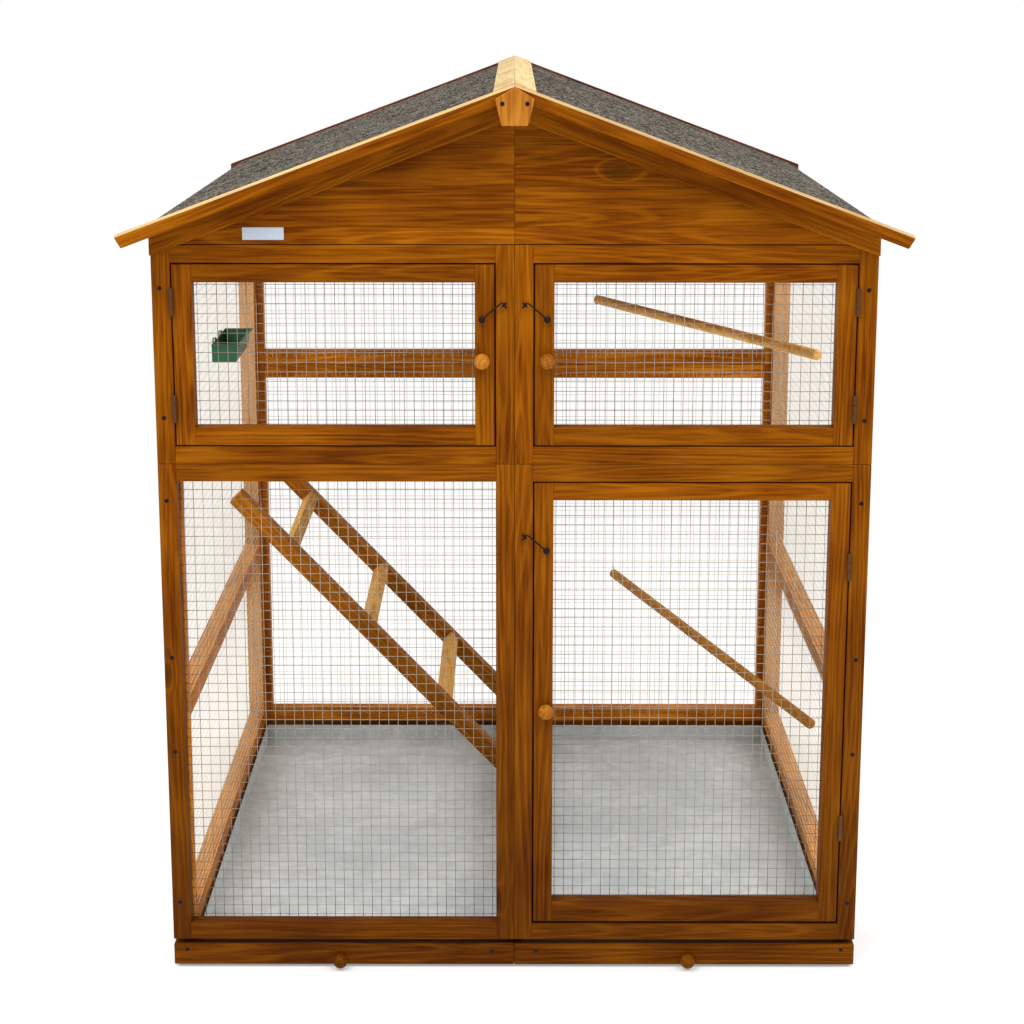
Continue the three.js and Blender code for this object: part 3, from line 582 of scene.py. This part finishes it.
def buildFrame(name, panel):
    wall, (u0, u1), (w0, w1) = panel["wall"], panel["u"], panel["w"]
    (a, b), (c, d) = windowOf(panel)
    thick, inset = cabin["panel"], 0.1
    level = "X" if wall in ("front", "back") else "Y"
    # the side and back frames get lighter copies of the stain inside, as painted light where light falls in
    wood = {"front": stained, "back": rearStain}.get(wall, amber)
    uprights, spans = [(u0, a), (b, u1)], [(a, b)]
    if "middle" in panel:
        half = panel["middle"]
        uprights.append((-half, half))
        spans = [(a, -half), (half, b)]
    stiles = [wallBlock("stile", wall, us, (0, thick), (w0, w1), wood["Z"]) for us in uprights]
    rails = [
        wallBlock("rail", wall, us, (inset, thick - inset), ws, wood[level], soft=0.5)
        for us in spans
        for ws in ((w0, c), (d, w1))
    ]
    if wall != "front":
        # the outer faces carry the front's stain; the inner faces keep their lighter copy of it, which is painted
        # light
        for parts, grain in ((stiles, "Z"), (rails, level)):
            for part in parts:
                part.data.materials.append(stained[grain])
                for face in part.data.polygons:
                    spot = face.center / mm
                    outer = abs(spot.x) > halfWidth - 0.5 or abs(spot.y) > halfDepth - 0.5
                    face.material_index = 1 if outer else 0
    return joinPieces(name, stiles + rails)


# Welded mesh of drawn galvanised wire, half-inch squares, the level wires welded over the upright ones.
# Those of the back and the right side are stapled over the frames, with their ends in sight
meshLook = {
    "pitch": 12.7,
    "radius": {"front": 0.42, "left": 0.27, "right": 0.27, "back": 0.32},
    "inside": {"depth": 24.6, "tuck": 5},
    "stapled": {"depth": 26.35, "tuck": 10},
    "weld": 0.75,
}


def addWireRow(wall, across, count, start, span, v):
    # one straight wire, then an array of it
    pitch = meshLook["pitch"]
    middle = (span[0] + span[1]) / 2
    place = onWall(wall, start if across else middle, v, middle if across else start)
    turn = (0, 0, 0)
    if not across:
        turn = (0, math.pi / 2, 0) if wall in ("front", "back") else (math.pi / 2, 0, 0)
    clearSelection()
    bpy.ops.mesh.primitive_cylinder_add(
        vertices=6,
        radius=meshLook["radius"][wall] * mm,
        depth=(span[1] - span[0]) * mm,
        location=[p * mm for p in place],
        rotation=turn,
    )
    piece = bpy.context.active_object
    bpy.ops.object.transform_apply(location=True, rotation=True, scale=True)
    origin = onWall(wall, 0, v, 0)
    following = onWall(wall, pitch if across else 0, v, 0 if across else pitch)
    applyModifier(
        piece,
        "ARRAY",
        count=count,
        use_relative_offset=False,
        use_constant_offset=True,
        constant_offset_displace=[(n - o) * mm for n, o in zip(following, origin)],
    )
    bpy.ops.object.shade_smooth()
    return piece


def buildMesh(name, panel):
    wall = panel["wall"]
    us, ws = windowOf(panel)
    pitch = meshLook["pitch"]
    fixing = meshLook["stapled" if wall in ("back", "right") else "inside"]
    depth, tuck = fixing["depth"], fixing["tuck"]
    parts = []
    for across, mine, other, v in ((True, us, ws, depth), (False, ws, us, depth + meshLook["weld"])):
        room = mine[1] - mine[0]
        count = int(room / pitch) + 1
        start = mine[0] + (room - (count - 1) * pitch) / 2
        parts.append(addWireRow(wall, across, count, start, (other[0] - tuck, other[1] + tuck), v))
    piece = joinPieces(name, parts)
    # the warm wire colour on the sides and back is a painted reflection
    piece.data.materials.append(zincWire if wall == "front" else warmWire)
    setTone(piece)
    return piece


for name, panel in panels.items():
    dress(buildFrame("timbers_" + name, panel), "cabin", "stained_pine", name)
    if not name.startswith("front") or name.endswith("lower_left"):
        node = name.replace("front_frame", "net").replace("side_frame", "net_side").replace("back_frame", "net_back")
        dress(buildMesh("mesh_" + name, panel), "cabin", "galvanised_wire", node)
print("panels made")

# Turned beech knobs on a short neck
doorKnob = {"neck": 6, "ball": 10.2, "length": 21}
trayKnob = {"neck": 6, "ball": 10, "length": 19}
knobFace = -halfDepth - fit


def buildKnob(name, spot, size, wood):
    ball, neck, length = size["ball"], size["neck"], size["length"]
    middle, waist = length - ball, neck * 0.92
    stations = [(0.2, neck * 0.98), (0.6, neck), (middle * 0.2, waist)]
    # the ball, from where it leaves the waist to its tip
    meet, steps = math.acos(-math.sqrt(1 - (waist / ball) ** 2)), 15
    for i in range(1, steps):
        angle = meet * (1 - i / steps)
        stations.append((middle + ball * math.cos(angle), ball * math.sin(angle)))
    stations.append((length - 0.03, 0.9))
    return addTurned(name, spot, (0, -1, 0), stations, wood, 40)


# Butt hinges of bronzed steel, three knuckles on a pin
hingeLook = {
    "length": 36,
    "barrel": 3,
    "ease": 0.5,
    "slack": 0.3,
    "proud": 3.4,
    "pin": ((0.5, 1.5), (0.1, 2.1)),
    "leaf": 0.6,
    "leafWide": 12,
    "gap": 2,
}


def buildHinge(name, door, z):
    look = hingeLook
    side = door["side"]
    edge = door["u"][0] if side < 0 else door["u"][1]
    x = edge + side * look["gap"] / 2
    y = -halfDepth - look["proud"]
    half, third, radius, ease = look["length"] / 2, look["length"] / 3, look["barrel"], look["ease"]
    frameSpans = ((-half, -half + third), (half - third, half))
    doorSpan = (-third / 2 + look["slack"], third / 2 - look["slack"])
    frameParts, doorParts = [], []
    for (low, high), bag in ((frameSpans[0], frameParts), (doorSpan, doorParts), (frameSpans[1], frameParts)):
        stations = [(low, radius - ease), (low + ease, radius), (high - ease, radius), (high, radius - ease)]
        bag.append(addTurned("knuckle", (x, y, z), (0, 0, 1), stations, bronzeSteel, 24))
    stations = [(-half - over, wide) for over, wide in look["pin"]]
    stations += [(half + over, wide) for over, wide in reversed(look["pin"])]
    frameParts.append(addTurned("pin", (x, y, z), (0, 0, 1), stations, bronzeSteel, 24))
    for bag, face, outward, spans in (
        (frameParts, edge + side * look["gap"], -side, frameSpans),
        (doorParts, edge, side, (doorSpan,)),
    ):
        x0, x1 = sorted((face, face + outward * look["leaf"]))
        for low, high in spans:
            corners = (x0, y, z + low), (x1, y + look["leafWide"], z + high)
            bag.append(addBlock("leaf", *corners, bronzeSteel, soft=0.15, segments=1))
    dress(joinPieces("hinge_frame_" + name, frameParts), "cabin", "black_steel")
    return joinPieces("hinge_door_" + name, doorParts)


# Hooks and eyes of blackened wire, each hook on a round-headed screw
hookLook = {"wire": 1.1, "ring": 3.4, "plane": 5, "tail": 10, "shank": 34, "bend": 3, "inset": 16, "angle": 40.6}
hookScrew = {"shaft": 1.7, "proud": 2.2, "head": ((0.01, 3.1), (0.7, 3.0), (1.3, 2.0), (1.5, 0.8))}
eyeLook = {"ring": 3.6, "wire": 0.9, "stem": 1.0, "collar": ((-0.2, 2.2), (0.25, 2.2), (0.5, 1.4))}


def freeEdge(door):
    # the edge away from the hinges
    return door["u"][1] if door["side"] < 0 else door["u"][0]


def buildHook(name, door, body):
    look = hookLook
    side = door["side"]
    lean = math.radians(look["angle"])
    along = Vector((-side * math.cos(lean), 0, math.sin(lean)))
    tail = Vector((-side * math.sin(lean), 0, -math.cos(lean)))
    outward = Vector((0, -1, 0))
    face = -halfDepth
    pivot = Vector((freeEdge(door) + side * look["inset"], face - look["plane"], door["w"][1] - door["hook"]))
    tip = pivot + along * look["shank"]
    # the ring, the shank with its rolled bend, and the tail
    corner = look["bend"]
    straight = look["shank"] - look["ring"] - corner
    path = [pivot + along * (look["ring"] + i * straight / 6) for i in range(7)]
    centre = tip - along * corner + tail * corner
    for i in range(1, 9):
        angle = math.pi / 2 * i / 8
        path.append(centre - tail * corner * math.cos(angle) + along * corner * math.sin(angle))
    path += [tip + tail * (corner + i * (look["tail"] - corner) / 4) for i in range(1, 5)]
    ring = ringPoints(pivot, look["ring"], along, along.cross(outward))
    parts = [
        addWire("ring", ring, look["wire"], blackSteel, closed=True),
        addWire("shank", path, look["wire"], blackSteel),
    ]
    dress(joinPieces("hook_" + name, parts), "hook_" + name, "black_steel", "door_hook_" + name)
    # the screw that it turns on
    shaft, neck = hookScrew["shaft"], look["plane"] + hookScrew["proud"]
    stations = [(-0.8, shaft), (0.2, shaft), (neck, shaft)]
    stations += [(neck + rise, radius) for rise, radius in hookScrew["head"]]
    screw = addTurned("hook_screw_" + name, (pivot.x, face, pivot.z), (0, -1, 0), stations, blackSteel, 24)
    # the screw eye on the frame
    eye = tip + tail * 4.5 + along * 0.5
    ring = ringPoints(eye, eyeLook["ring"], outward, along, 24)
    stem = [(eye.x, face + 0.8, eye.z), (eye.x, face - 0.6, eye.z), (eye.x, face - 1.5, eye.z)]
    parts = [
        addWire("eye", ring, eyeLook["wire"], blackSteel, closed=True),
        addWire("stem", stem, eyeLook["stem"], blackSteel),
        addTurned("collar", (eye.x, face, eye.z), (0, -1, 0), eyeLook["collar"], blackSteel, 20),
    ]
    dress(joinPieces("eye_" + name, parts), "cabin", "black_steel")
    dress(screw, body, "black_steel")


knobInset = 16
# The strip on the frame's inner face that a door closes against
stopStrip = {"half": 8, "depth": (26.2, 31), "over": 6}

for name, door in doors.items():
    body, side, free = "door_" + name, door["side"], freeEdge(door)
    low, high = door["w"]
    dress(buildFrame("timbers_door_" + name, door), body, "stained_pine", "door_frame_" + name)
    dress(buildMesh("mesh_door_" + name, door), body, "galvanised_wire", "door_net_" + name)
    knob = buildKnob("knob_" + name, (free + side * knobInset, knobFace, door["knob"]), doorKnob, knobWood["Y"])
    dress(knob, body, "beech", "door_knob_" + name)
    for i, z in enumerate((low + door["hinge"][0], high - door["hinge"][1])):
        dress(buildHinge(name + "_" + str(i), door, z), body, "black_steel")
    buildHook(name, door, body)
    us = sorted((free - side * stopStrip["half"], free + side * stopStrip["half"]))
    ws = (low - stopStrip["over"], high + stopStrip["over"])
    strip = wallBlock("door_stop_" + name, "front", us, stopStrip["depth"], ws, stained["Z"])
    dress(strip, "cabin", "stained_pine")
centre = wallBlock("centre_strip", "front", (-10, 10), (26.2, 30), (73, 988), stained["Z"], soft=0.5)
dress(centre, "cabin", "stained_pine")
print("doors made")

# Gables: tongued boards laid level, cut to the slope, with a strip over the joint in the middle
gable = {"depth": 20, "seams": (990.6, 1012, 1064, 1116, 1172), "gap": 0.15, "clear": 0.3}
gableStrip = {"half": 12, "thick": 4, "z": (992, 1160), "y": {"front": -469.8, "rear": 465.8}}


def buildGable(name, side, y0):
    parts = []
    seams = gable["seams"]
    foot = (0, 0, roofAt(0) - roof["under"] - gable["clear"])
    normal = (side * roof["rise"], 0, 1)
    x0, x1 = sorted((side * fit, side * halfWidth))
    for low, high in zip(seams, seams[1:]):
        top = high - gable["gap"] if high != seams[-1] else high
        corners = (x0, y0, low), (x1, y0 + gable["depth"], top)
        parts.append(addBlock("plank", *corners, stained["X"], soft=0.5, cuts=[(foot, normal)]))
    return joinPieces(name, parts)


for side, word in bothSides:
    for end, y0 in (("front", -halfDepth), ("rear", halfDepth - gable["depth"])):
        planks = buildGable("planks_" + end + "_" + word, side, y0)
        dress(planks, "cabin", "stained_pine", "gable_" + end + "_" + word)
half, (low, high) = gableStrip["half"], gableStrip["z"]
for word, y0 in gableStrip["y"].items():
    corners = (-half, y0, low), (half, y0 + gableStrip["thick"], high)
    dress(addBlock("gable_strip_" + word, *corners, stained["Z"], soft=0.5), "cabin", "stained_pine")

# Roof boards: how far each reaches from the ridge, its heights from the roof's line, and its run from the front
# to the rear. The front fascia's top edge is bare planed wood, painted paler still: a painted highlight where its
# rounded edge catches the light
roofRun = (roof["front"], roof["back"])
fasciaTop, arris = 6.4, 3
deck = {"reach": roof["edge"], "high": -2.3, "low": -11.74, "y": roofRun}
felt = {"reach": roof["edge"], "high": 3, "low": -2.2, "y": roofRun}
fascia = {"reach": roof["reach"], "high": fasciaTop - arris, "low": fasciaTop - 19, "y": (-535, -517)}
fasciaEdge = {**fascia, "high": fasciaTop, "low": fasciaTop - arris}
rearFascia = {"reach": roof["rearReach"], "high": fasciaTop, "low": fasciaTop - 25.6, "y": (510.3, 522.3)}
rakeTrim = {"reach": halfWidth, "high": -12.04, "low": -37.04, "y": (-502.3, -490.3)}
ridgePlank = {"reach": 27, "high": 8.3, "low": 3.1, "y": roofRun}


def slopedBoard(name, side, board, finish, soft=0.8, square=0.0, inner=fit, pulls=()):
    # a level board, pulled down at its outer end to the slope
    reach, high, low, (y0, y1) = board["reach"], board["high"], board["low"], board["y"]
    outer = side * reach
    x0, x1 = sorted((side * inner, outer))
    middle = roofAt(reach) + (high + low) / 2
    moves = [(lambda c: abs(c.x - outer) < 0.01, (0, 0, roof["rise"] * (inner - reach)))]
    if square:
        # the end is sawn back at its foot
        saw = (-side * square, 0, square * roof["rise"])
        moves.append((lambda c: abs(c.x - outer) < 0.01 and c.z < middle, saw))
    start = roofAt(inner)
    corners = (x0, y0, start + low), (x1, y1, start + high)
    return addBlock(name, *corners, finish, soft=soft, pulls=moves + list(pulls))


# the front corner is taken off the bare edge
cornerOff = (lambda c: c.y < -534 and c.z > roofAt(c.x) + fasciaTop - arris / 2, (0, arris, 0))
for side, word in bothSides:
    grain = word.capitalize()
    # the deck is four boards, seen from under the eaves and from inside
    strips = []
    wide = (deck["reach"] - fit) / 4
    for i in range(4):
        inner = fit + i * wide
        board = {**deck, "reach": inner + wide - 0.4}
        strips.append(slopedBoard("deck", side, board, stained["Y"], inner=inner))
    dress(joinPieces("deck_" + word, strips), "cabin", "stained_pine", "roof_board_" + word)
    sheet = slopedBoard("felt_" + word, side, felt, slateFelt)
    dress(sheet, "cabin", "roofing_felt", "roof_felt_" + word)
    face = slopedBoard("fascia_face_" + word, side, fascia, stained[grain], soft=1.2, square=8)
    dress(face, "cabin", "stained_pine", "fascia_front_" + word)
    edge = slopedBoard("fascia_edge_" + word, side, fasciaEdge, edgePine[grain], soft=0.4, pulls=[cornerOff])
    dress(edge, "cabin", "pale_pine")
    rear = slopedBoard("fascia_rear_face_" + word, side, rearFascia, darkStain[grain])
    dress(rear, "cabin", "dark_stained_pine", "fascia_rear_" + word)
    trim = slopedBoard("rake_trim_face_" + word, side, rakeTrim, stained[grain], soft=1.4)
    dress(trim, "cabin", "stained_pine", "rake_trim_" + word)
    cap = slopedBoard("ridge_plank_" + word, side, ridgePlank, barePine, soft=1.0)
    dress(cap, "cabin", "pale_pine", "ridge_cap_" + word)
print("roof made")

# The block over the fascias' joint: a board sawn to five sides, with two screws
block = {"width": 49, "foot": 33, "top": 1189.97, "low": 1142.97, "shoulder": 1175.47, "y0": -549.9, "y1": -535.3}
half, step = block["width"] / 2, (block["width"] - block["foot"]) / 2
rise = block["top"] - block["shoulder"]
ridgeBlock = addBlock(
    "block_face",
    (-half, block["y0"], block["low"]),
    (half, block["y1"], block["shoulder"]),
    knobWood["Z"],
    soft=1.2,
    split=True,
    pulls=[
        (lambda c: abs(c.x) < 1 and c.z > block["low"] + 5, (0, 0, rise)),
        (lambda c: c.x > 5 and c.z < block["low"] + 5, (-step, 0, 0)),
        (lambda c: c.x < -5 and c.z < block["low"] + 5, (step, 0, 0)),
    ],
)
dress(ridgeBlock, "cabin", "beech", "ridge_block")

# Countersunk screws: a dark cup with the head at its bottom
screwLook = {"radius": 2.9, "cup": ((-0.5, 0.8), (0.05, 1), (0.3, 0.92), (0.35, 0.62), (0.1, 0.55))}
frameScrews = {-454.5: (934, 765, 655, 441.5, 310, 95), 453.5: (932, 762, 652, 439, 307, 94)}
stations = [(place, screwLook["radius"] * share) for place, share in screwLook["cup"]]
model = addTurned("screw", (0, 0, 0), (0, -1, 0), stations, blackSteel, 20)
screws = [copyPiece(model, "screw", (x, -halfDepth, z)) for x, heights in frameScrews.items() for z in heights]
screws += [copyPiece(model, "screw", (x, block["y0"], 1170)) for x in (-15.5, 15.5)]
dress(joinPieces("front_screws", screws), "cabin", "black_steel")

# Base runners, with ledges that the trays slide on
runner = {"y": (-471.7, 463.7), "top": cabin["base"] - 0.3, "inner": 439, "half": 12, "middleTop": 72}
ledge = {"wide": 8, "high": 5}


def addRunner(name, x0, x1, top, soft):
    low, high = sorted((x0, x1))
    return addBlock(name, (low, runner["y"][0], 0), (high, runner["y"][1], top), stained["Y"], soft=soft)


top, half, wide, shelfTop = runner["top"], runner["half"], ledge["wide"], ledge["high"]
for side, word in bothSides:
    inner = side * runner["inner"]
    upright = addRunner("runner", side * halfWidth, inner, top, 1.0)
    shelf = addRunner("ledge", inner, inner - side * wide, shelfTop, 0.5)
    dress(joinPieces("runner_" + word, [upright, shelf]), "cabin", "stained_pine", "base_runner_" + word)
rear = addBlock("runner_rear", (-halfWidth, 464, 0), (halfWidth, halfDepth, top), stained["X"], soft=1.0)
dress(rear, "cabin", "stained_pine", "base_runner_rear")
parts = [
    addRunner("runner", -half, half, top, 1.0),
    addBlock("runner", (-half, -463.7, top - 1), (half, 463.7, runner["middleTop"]), stained["Y"], soft=1.0),
    addRunner("ledge", -half - wide, -half, shelfTop, 0.5),
    addRunner("ledge", half, half + wide, shelfTop, 0.5),
]
dress(joinPieces("runner_centre", parts), "cabin", "stained_pine", "base_runner_centre")

# Trays: a wooden face with two screws and a pull, on the zinc tray
trayFace = {"y": (-490, -472), "z": (4, 34), "screws": ((447, 26), (30, 24)), "pull": (237, 13)}
for side, word in bothSides:
    body = "drawer_" + word
    x0, x1 = sorted((side * fit, side * halfWidth))
    (y0, y1), (z0, z1) = trayFace["y"], trayFace["z"]
    face = addBlock("tray_face_" + word, (x0, y0, z0), (x1, y1, z1), stained["X"], soft=1.4)
    dress(face, body, "stained_pine", "tray_front_" + word)
    screws = [copyPiece(model, "screw", (side * x, y0, z)) for x, z in trayFace["screws"]]
    dress(joinPieces("tray_screws_" + word, screws), body, "black_steel")
    x, z = trayFace["pull"]
    knob = buildKnob("tray_pull_" + word, (side * x, knobFace, z), trayKnob, stained["Y"])
    dress(knob, body, "beech", "tray_knob_" + word)
    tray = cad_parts["tray_" + word]
    tray.data.materials.clear()
    tray.data.materials.append(zincSheet)
bpy.data.objects.remove(model)
print("base made")

# Perches: beech dowels on a zinc screw hook that hangs over the back mesh
perches = {
    "upper": {"top": (140, 446.5, 792.1), "foot": (432.0, -176.3, 797.9), "hookLift": 0},
    "lower": {"top": (172, 446.5, 314.9), "foot": (431.8, -229.1, 263.65), "hookLift": 4.8},
}
dowelEnd = [(0, 6.6), (0.5, 7.3), (1.1, 7.6)]
perchHook = {"wire": 1.1, "ring": 5, "ringAt": 14.5, "start": -0.6, "sweep": 3.9}
for word, perch in perches.items():
    start, end = Vector(perch["top"]), Vector(perch["foot"])
    run = end - start
    stations = dowelEnd + [(run.length - place, radius) for place, radius in reversed(dowelEnd)]
    dowel = addTurned("dowel_" + word, start, run, stations, dowelWood[word])
    dress(dowel, "cabin", "beech", "perch_" + word)
    hang = [(start.x, start.y - 4, start.z), (start.x, start.y + 8, start.z)]
    centre = (start.x, start.y + perchHook["ringAt"], start.z + perch["hookLift"])
    hang += ringPoints(centre, perchHook["ring"], (0, -1, 0), (0, 0, 1), 14, perchHook["start"], perchHook["sweep"])
    dress(addWire("perch_hook_" + word, hang, perchHook["wire"], zincWire), "cabin", "galvanised_wire")

# Ladder: two stringers sawn square at the top and level at the foot, and three flat battens let in between them
ladder = {
    "top": (-438.95, 0, 533.5),
    "foot": (0, 0, 72.3),
    "depth": 24,
    "thick": 30,
    "front": 34.55,
    "back": 437.25,
    "rung": (17, 20.8),
    "rungs": 3,
    "firstRung": 119,
    "pitch": 172,
    "letIn": 0.2,
    "spare": 40,
}
top, depth, thick, letIn = Vector(ladder["top"]), ladder["depth"], ladder["thick"], ladder["letIn"]
run = Vector(ladder["foot"]) - top
tilt = math.atan2(-run.z, run.x)
unit = run.normalized()
lift = Vector((-unit.z, 0, unit.x))
middle = top + run / 2 + lift * depth / 2
reach, half = run.length / 2 + ladder["spare"], depth / 2
parts = []
for y0 in (ladder["front"], ladder["back"] - thick):
    stringer = addBlock(
        "stringer",
        (middle.x - reach, y0, middle.z - half),
        (middle.x + reach, y0 + thick, middle.z + half),
        ladderWood,
        soft=1.0,
        turn=(0, tilt, 0),
        cuts=[(ladder["top"], -unit), (ladder["foot"], (0, 0, -1))],
    )
    parts.append(stringer)
wide, deep = [side / 2 for side in ladder["rung"]]
for i in range(ladder["rungs"]):
    spot = top + unit * (ladder["firstRung"] + ladder["pitch"] * i) + lift * (depth - letIn - deep)
    rung = addBlock(
        "rung",
        (spot.x - wide, ladder["front"] + thick - letIn, spot.z - deep),
        (spot.x + wide, ladder["back"] - thick + letIn, spot.z + deep),
        batten,
        soft=1.0,
        turn=(0, tilt, 0),
    )
    parts.append(rung)
dress(joinPieces("ladder_timbers", parts), "cabin", "beech", "ladder")

# Feeder: a moulded trough with a turned rim and two straps over the mesh
feeder = {
    "x": (-438.95, -398.95),
    "y": (-124, 34),
    "z": (777.16, 804.16),
    "wall": 1.6,
    "taper": 5,
    "rim": 3,
    "floorShare": (0.84, 0.93, 1),
}
straps = {"insets": (44, 114), "half": 4, "behind": (-442.7, -441.2)}
(x0, x1), (y0, y1), (low, high) = feeder["x"], feeder["y"], feeder["z"]
wall, taper, rim = feeder["wall"], feeder["taper"], feeder["rim"]
cup = addBlock(
    "cup",
    (x0, y0, low),
    (x1, y1, high),
    greenPlastic,
    soft=0,
    pulls=[
        (lambda c: c.z < low + 1 and c.y < y0 + 1, (0, taper, 0)),
        (lambda c: c.z < low + 1 and c.y > y1 - 1, (0, -taper, 0)),
        (lambda c: c.z < low + 1 and c.x > x1 - 1, (-taper, 0, 0)),
    ],
)
# hollowed from the top, with a smaller floor
activate(cup)
bpy.ops.object.mode_set(mode="EDIT")
bpy.ops.mesh.select_mode(type="FACE")
bpy.ops.mesh.select_all(action="DESELECT")
shell = bmesh.from_edit_mesh(cup.data)
for face in shell.faces:
    face.select = face.normal.z > 0.9
bmesh.update_edit_mesh(cup.data)
bpy.ops.mesh.inset(thickness=wall * mm)
bpy.ops.mesh.extrude_region_move(TRANSFORM_OT_translate={"value": (0, 0, -(high - low - wall) * mm)})
centre = [(x0 + x1 - 3) / 2 * mm, (y0 + y1) / 2 * mm, 0]
bpy.ops.transform.resize(value=feeder["floorShare"], center_override=centre)
bpy.ops.mesh.select_mode(type="VERT")
bpy.ops.object.mode_set(mode="OBJECT")
applyModifier(cup, "BEVEL", width=1.2 * mm, segments=3, limit_method="ANGLE", angle_limit=math.radians(30))
parts = [cup]
for first, last in (
    ((x1 - 0.2, y0 - rim, high - 1.6), (x1 + rim, y1 + rim, high)),
    ((x0, y0 - rim, high - 1.6), (x1, y0 + 0.2, high)),
    ((x0, y1 - 0.2, high - 1.6), (x1, y1 + rim, high)),
):
    parts.append(addBlock("rim", first, last, greenPlastic, soft=0.6))
# each strap goes up the trough, over the wire and down behind it
outer, inner = straps["behind"]
for inset in straps["insets"]:
    front, back = y0 + inset - straps["half"], y0 + inset + straps["half"]
    for start, end, foot in ((x0, x0 + wall, -3), (outer, x0 + wall, 1.6), (outer, inner, -5.3)):
        corners = (start, front, high + foot), (end, back, high + 3)
        parts.append(addBlock("strap", *corners, greenPlastic, soft=0.4))
dress(joinPieces("feeder_trough", parts), "feeder_cup", "green_plastic", "feeder")

# A small bare plate on the gable
plate = addBlock("gable_plate", (-347, -490.9, 996), (-294, -489.9, 1012), platePlastic, soft=0.4)
dress(plate, "cabin", "pale_pine")
print("fittings made")

# Floor, light and camera


def floorMaterial():
    # a matt floor that shines white further out, to the eye and in reflections
    made, tree, shader = startMaterial("studio_floor", Roughness=0.9)
    shader.inputs["Base Color"].default_value = toLinear("#F6F6F5")
    place = addNode(tree, "ShaderNodeTexCoord").outputs["Object"]
    reach = addNode(tree, "ShaderNodeVectorMath", {0: place}, operation="LENGTH").outputs["Value"]
    far = addNode(
        tree,
        "ShaderNodeMapRange",
        {"Value": reach},
        interpolation_type="SMOOTHSTEP",
        From_Min=0.8,
        From_Max=2.2,
        To_Min=0.3,
    ).outputs["Result"]
    path = addNode(tree, "ShaderNodeLightPath").outputs
    rays = {0: path["Is Camera Ray"], 1: path["Is Glossy Ray"]}
    seen = addNode(tree, "ShaderNodeMath", rays, operation="MAXIMUM").outputs["Value"]
    share = addNode(tree, "ShaderNodeMath", {0: far, 1: seen}, operation="MULTIPLY").outputs["Value"]
    glow = addNode(tree, "ShaderNodeEmission", Strength=1.0).outputs["Emission"]
    mix = addNode(tree, "ShaderNodeMixShader", {"Fac": share, 1: shader.outputs["BSDF"], 2: glow})
    tree.links.new(mix.outputs["Shader"], tree.nodes["Material Output"].inputs["Surface"])
    return made


clearSelection()
bpy.ops.mesh.primitive_plane_add(size=60)
floor = bpy.context.active_object
floor.name = "studio_floor"
floor.data.materials.append(floorMaterial())

world = bpy.data.worlds.new("studio")
bpy.context.scene.world = world
world.use_nodes = True
tree = world.node_tree
tree.nodes.clear()
# soft light for the object, plain white for the eye
path = addNode(tree, "ShaderNodeLightPath").outputs
rays = {0: path["Is Camera Ray"], 1: path["Is Transmission Ray"]}
seen = addNode(tree, "ShaderNodeMath", rays, operation="MAXIMUM").outputs["Value"]
soft = addNode(tree, "ShaderNodeBackground", Color=(1, 1, 1, 1), Strength=0.55).outputs["Background"]
white = addNode(tree, "ShaderNodeBackground", Color=(1, 1, 1, 1), Strength=1.0).outputs["Background"]
mix = addNode(tree, "ShaderNodeMixShader", {"Fac": seen, 1: soft, 2: white})
addNode(tree, "ShaderNodeOutputWorld", {"Surface": mix.outputs["Shader"]})

lamps = {
    "key": {"place": (-1.6, -2.8, 4.2), "size": 2.2, "power": 125},
    "fill": {"place": (1.8, -2.8, 4.0), "size": 2.2, "power": 90},
    "left": {"place": (-3.2, 0.2, 3.0), "size": 2.2, "power": 80},
    "right": {"place": (3.2, 0.2, 3.2), "size": 2.2, "power": 90},
    "top": {"place": (0.0, 0.8, 4.2), "size": 3.0, "power": 15},
}
for name, lamp in lamps.items():
    light = bpy.data.lights.new(name, "AREA")
    light.size = lamp["size"]
    light.energy = lamp["power"]
    holder = bpy.data.objects.new(name, light)
    bpy.context.collection.objects.link(holder)
    holder.location = lamp["place"]
    aim = Vector((0, 0, 0.6)) - Vector(lamp["place"])
    holder.rotation_euler = aim.to_track_quat("-Z", "Y").to_euler()

view = {"place": (-0.0006, -3.4302, 1.3209), "lens": 81.1, "pitch": 13.03, "yaw": -0.06, "roll": -0.04}
lens = bpy.data.cameras.new("camera")
lens.lens = view["lens"]
lens.sensor_width = 36
lens.clip_end = 200
camera = bpy.data.objects.new("camera", lens)
bpy.context.collection.objects.link(camera)
camera.location = view["place"]
camera.rotation_euler = (math.radians(90 - view["pitch"]), math.radians(view["roll"]), math.radians(-view["yaw"]))
bpy.context.scene.camera = camera
bpy.context.scene.view_settings.view_transform = "Standard"
print("studio made")
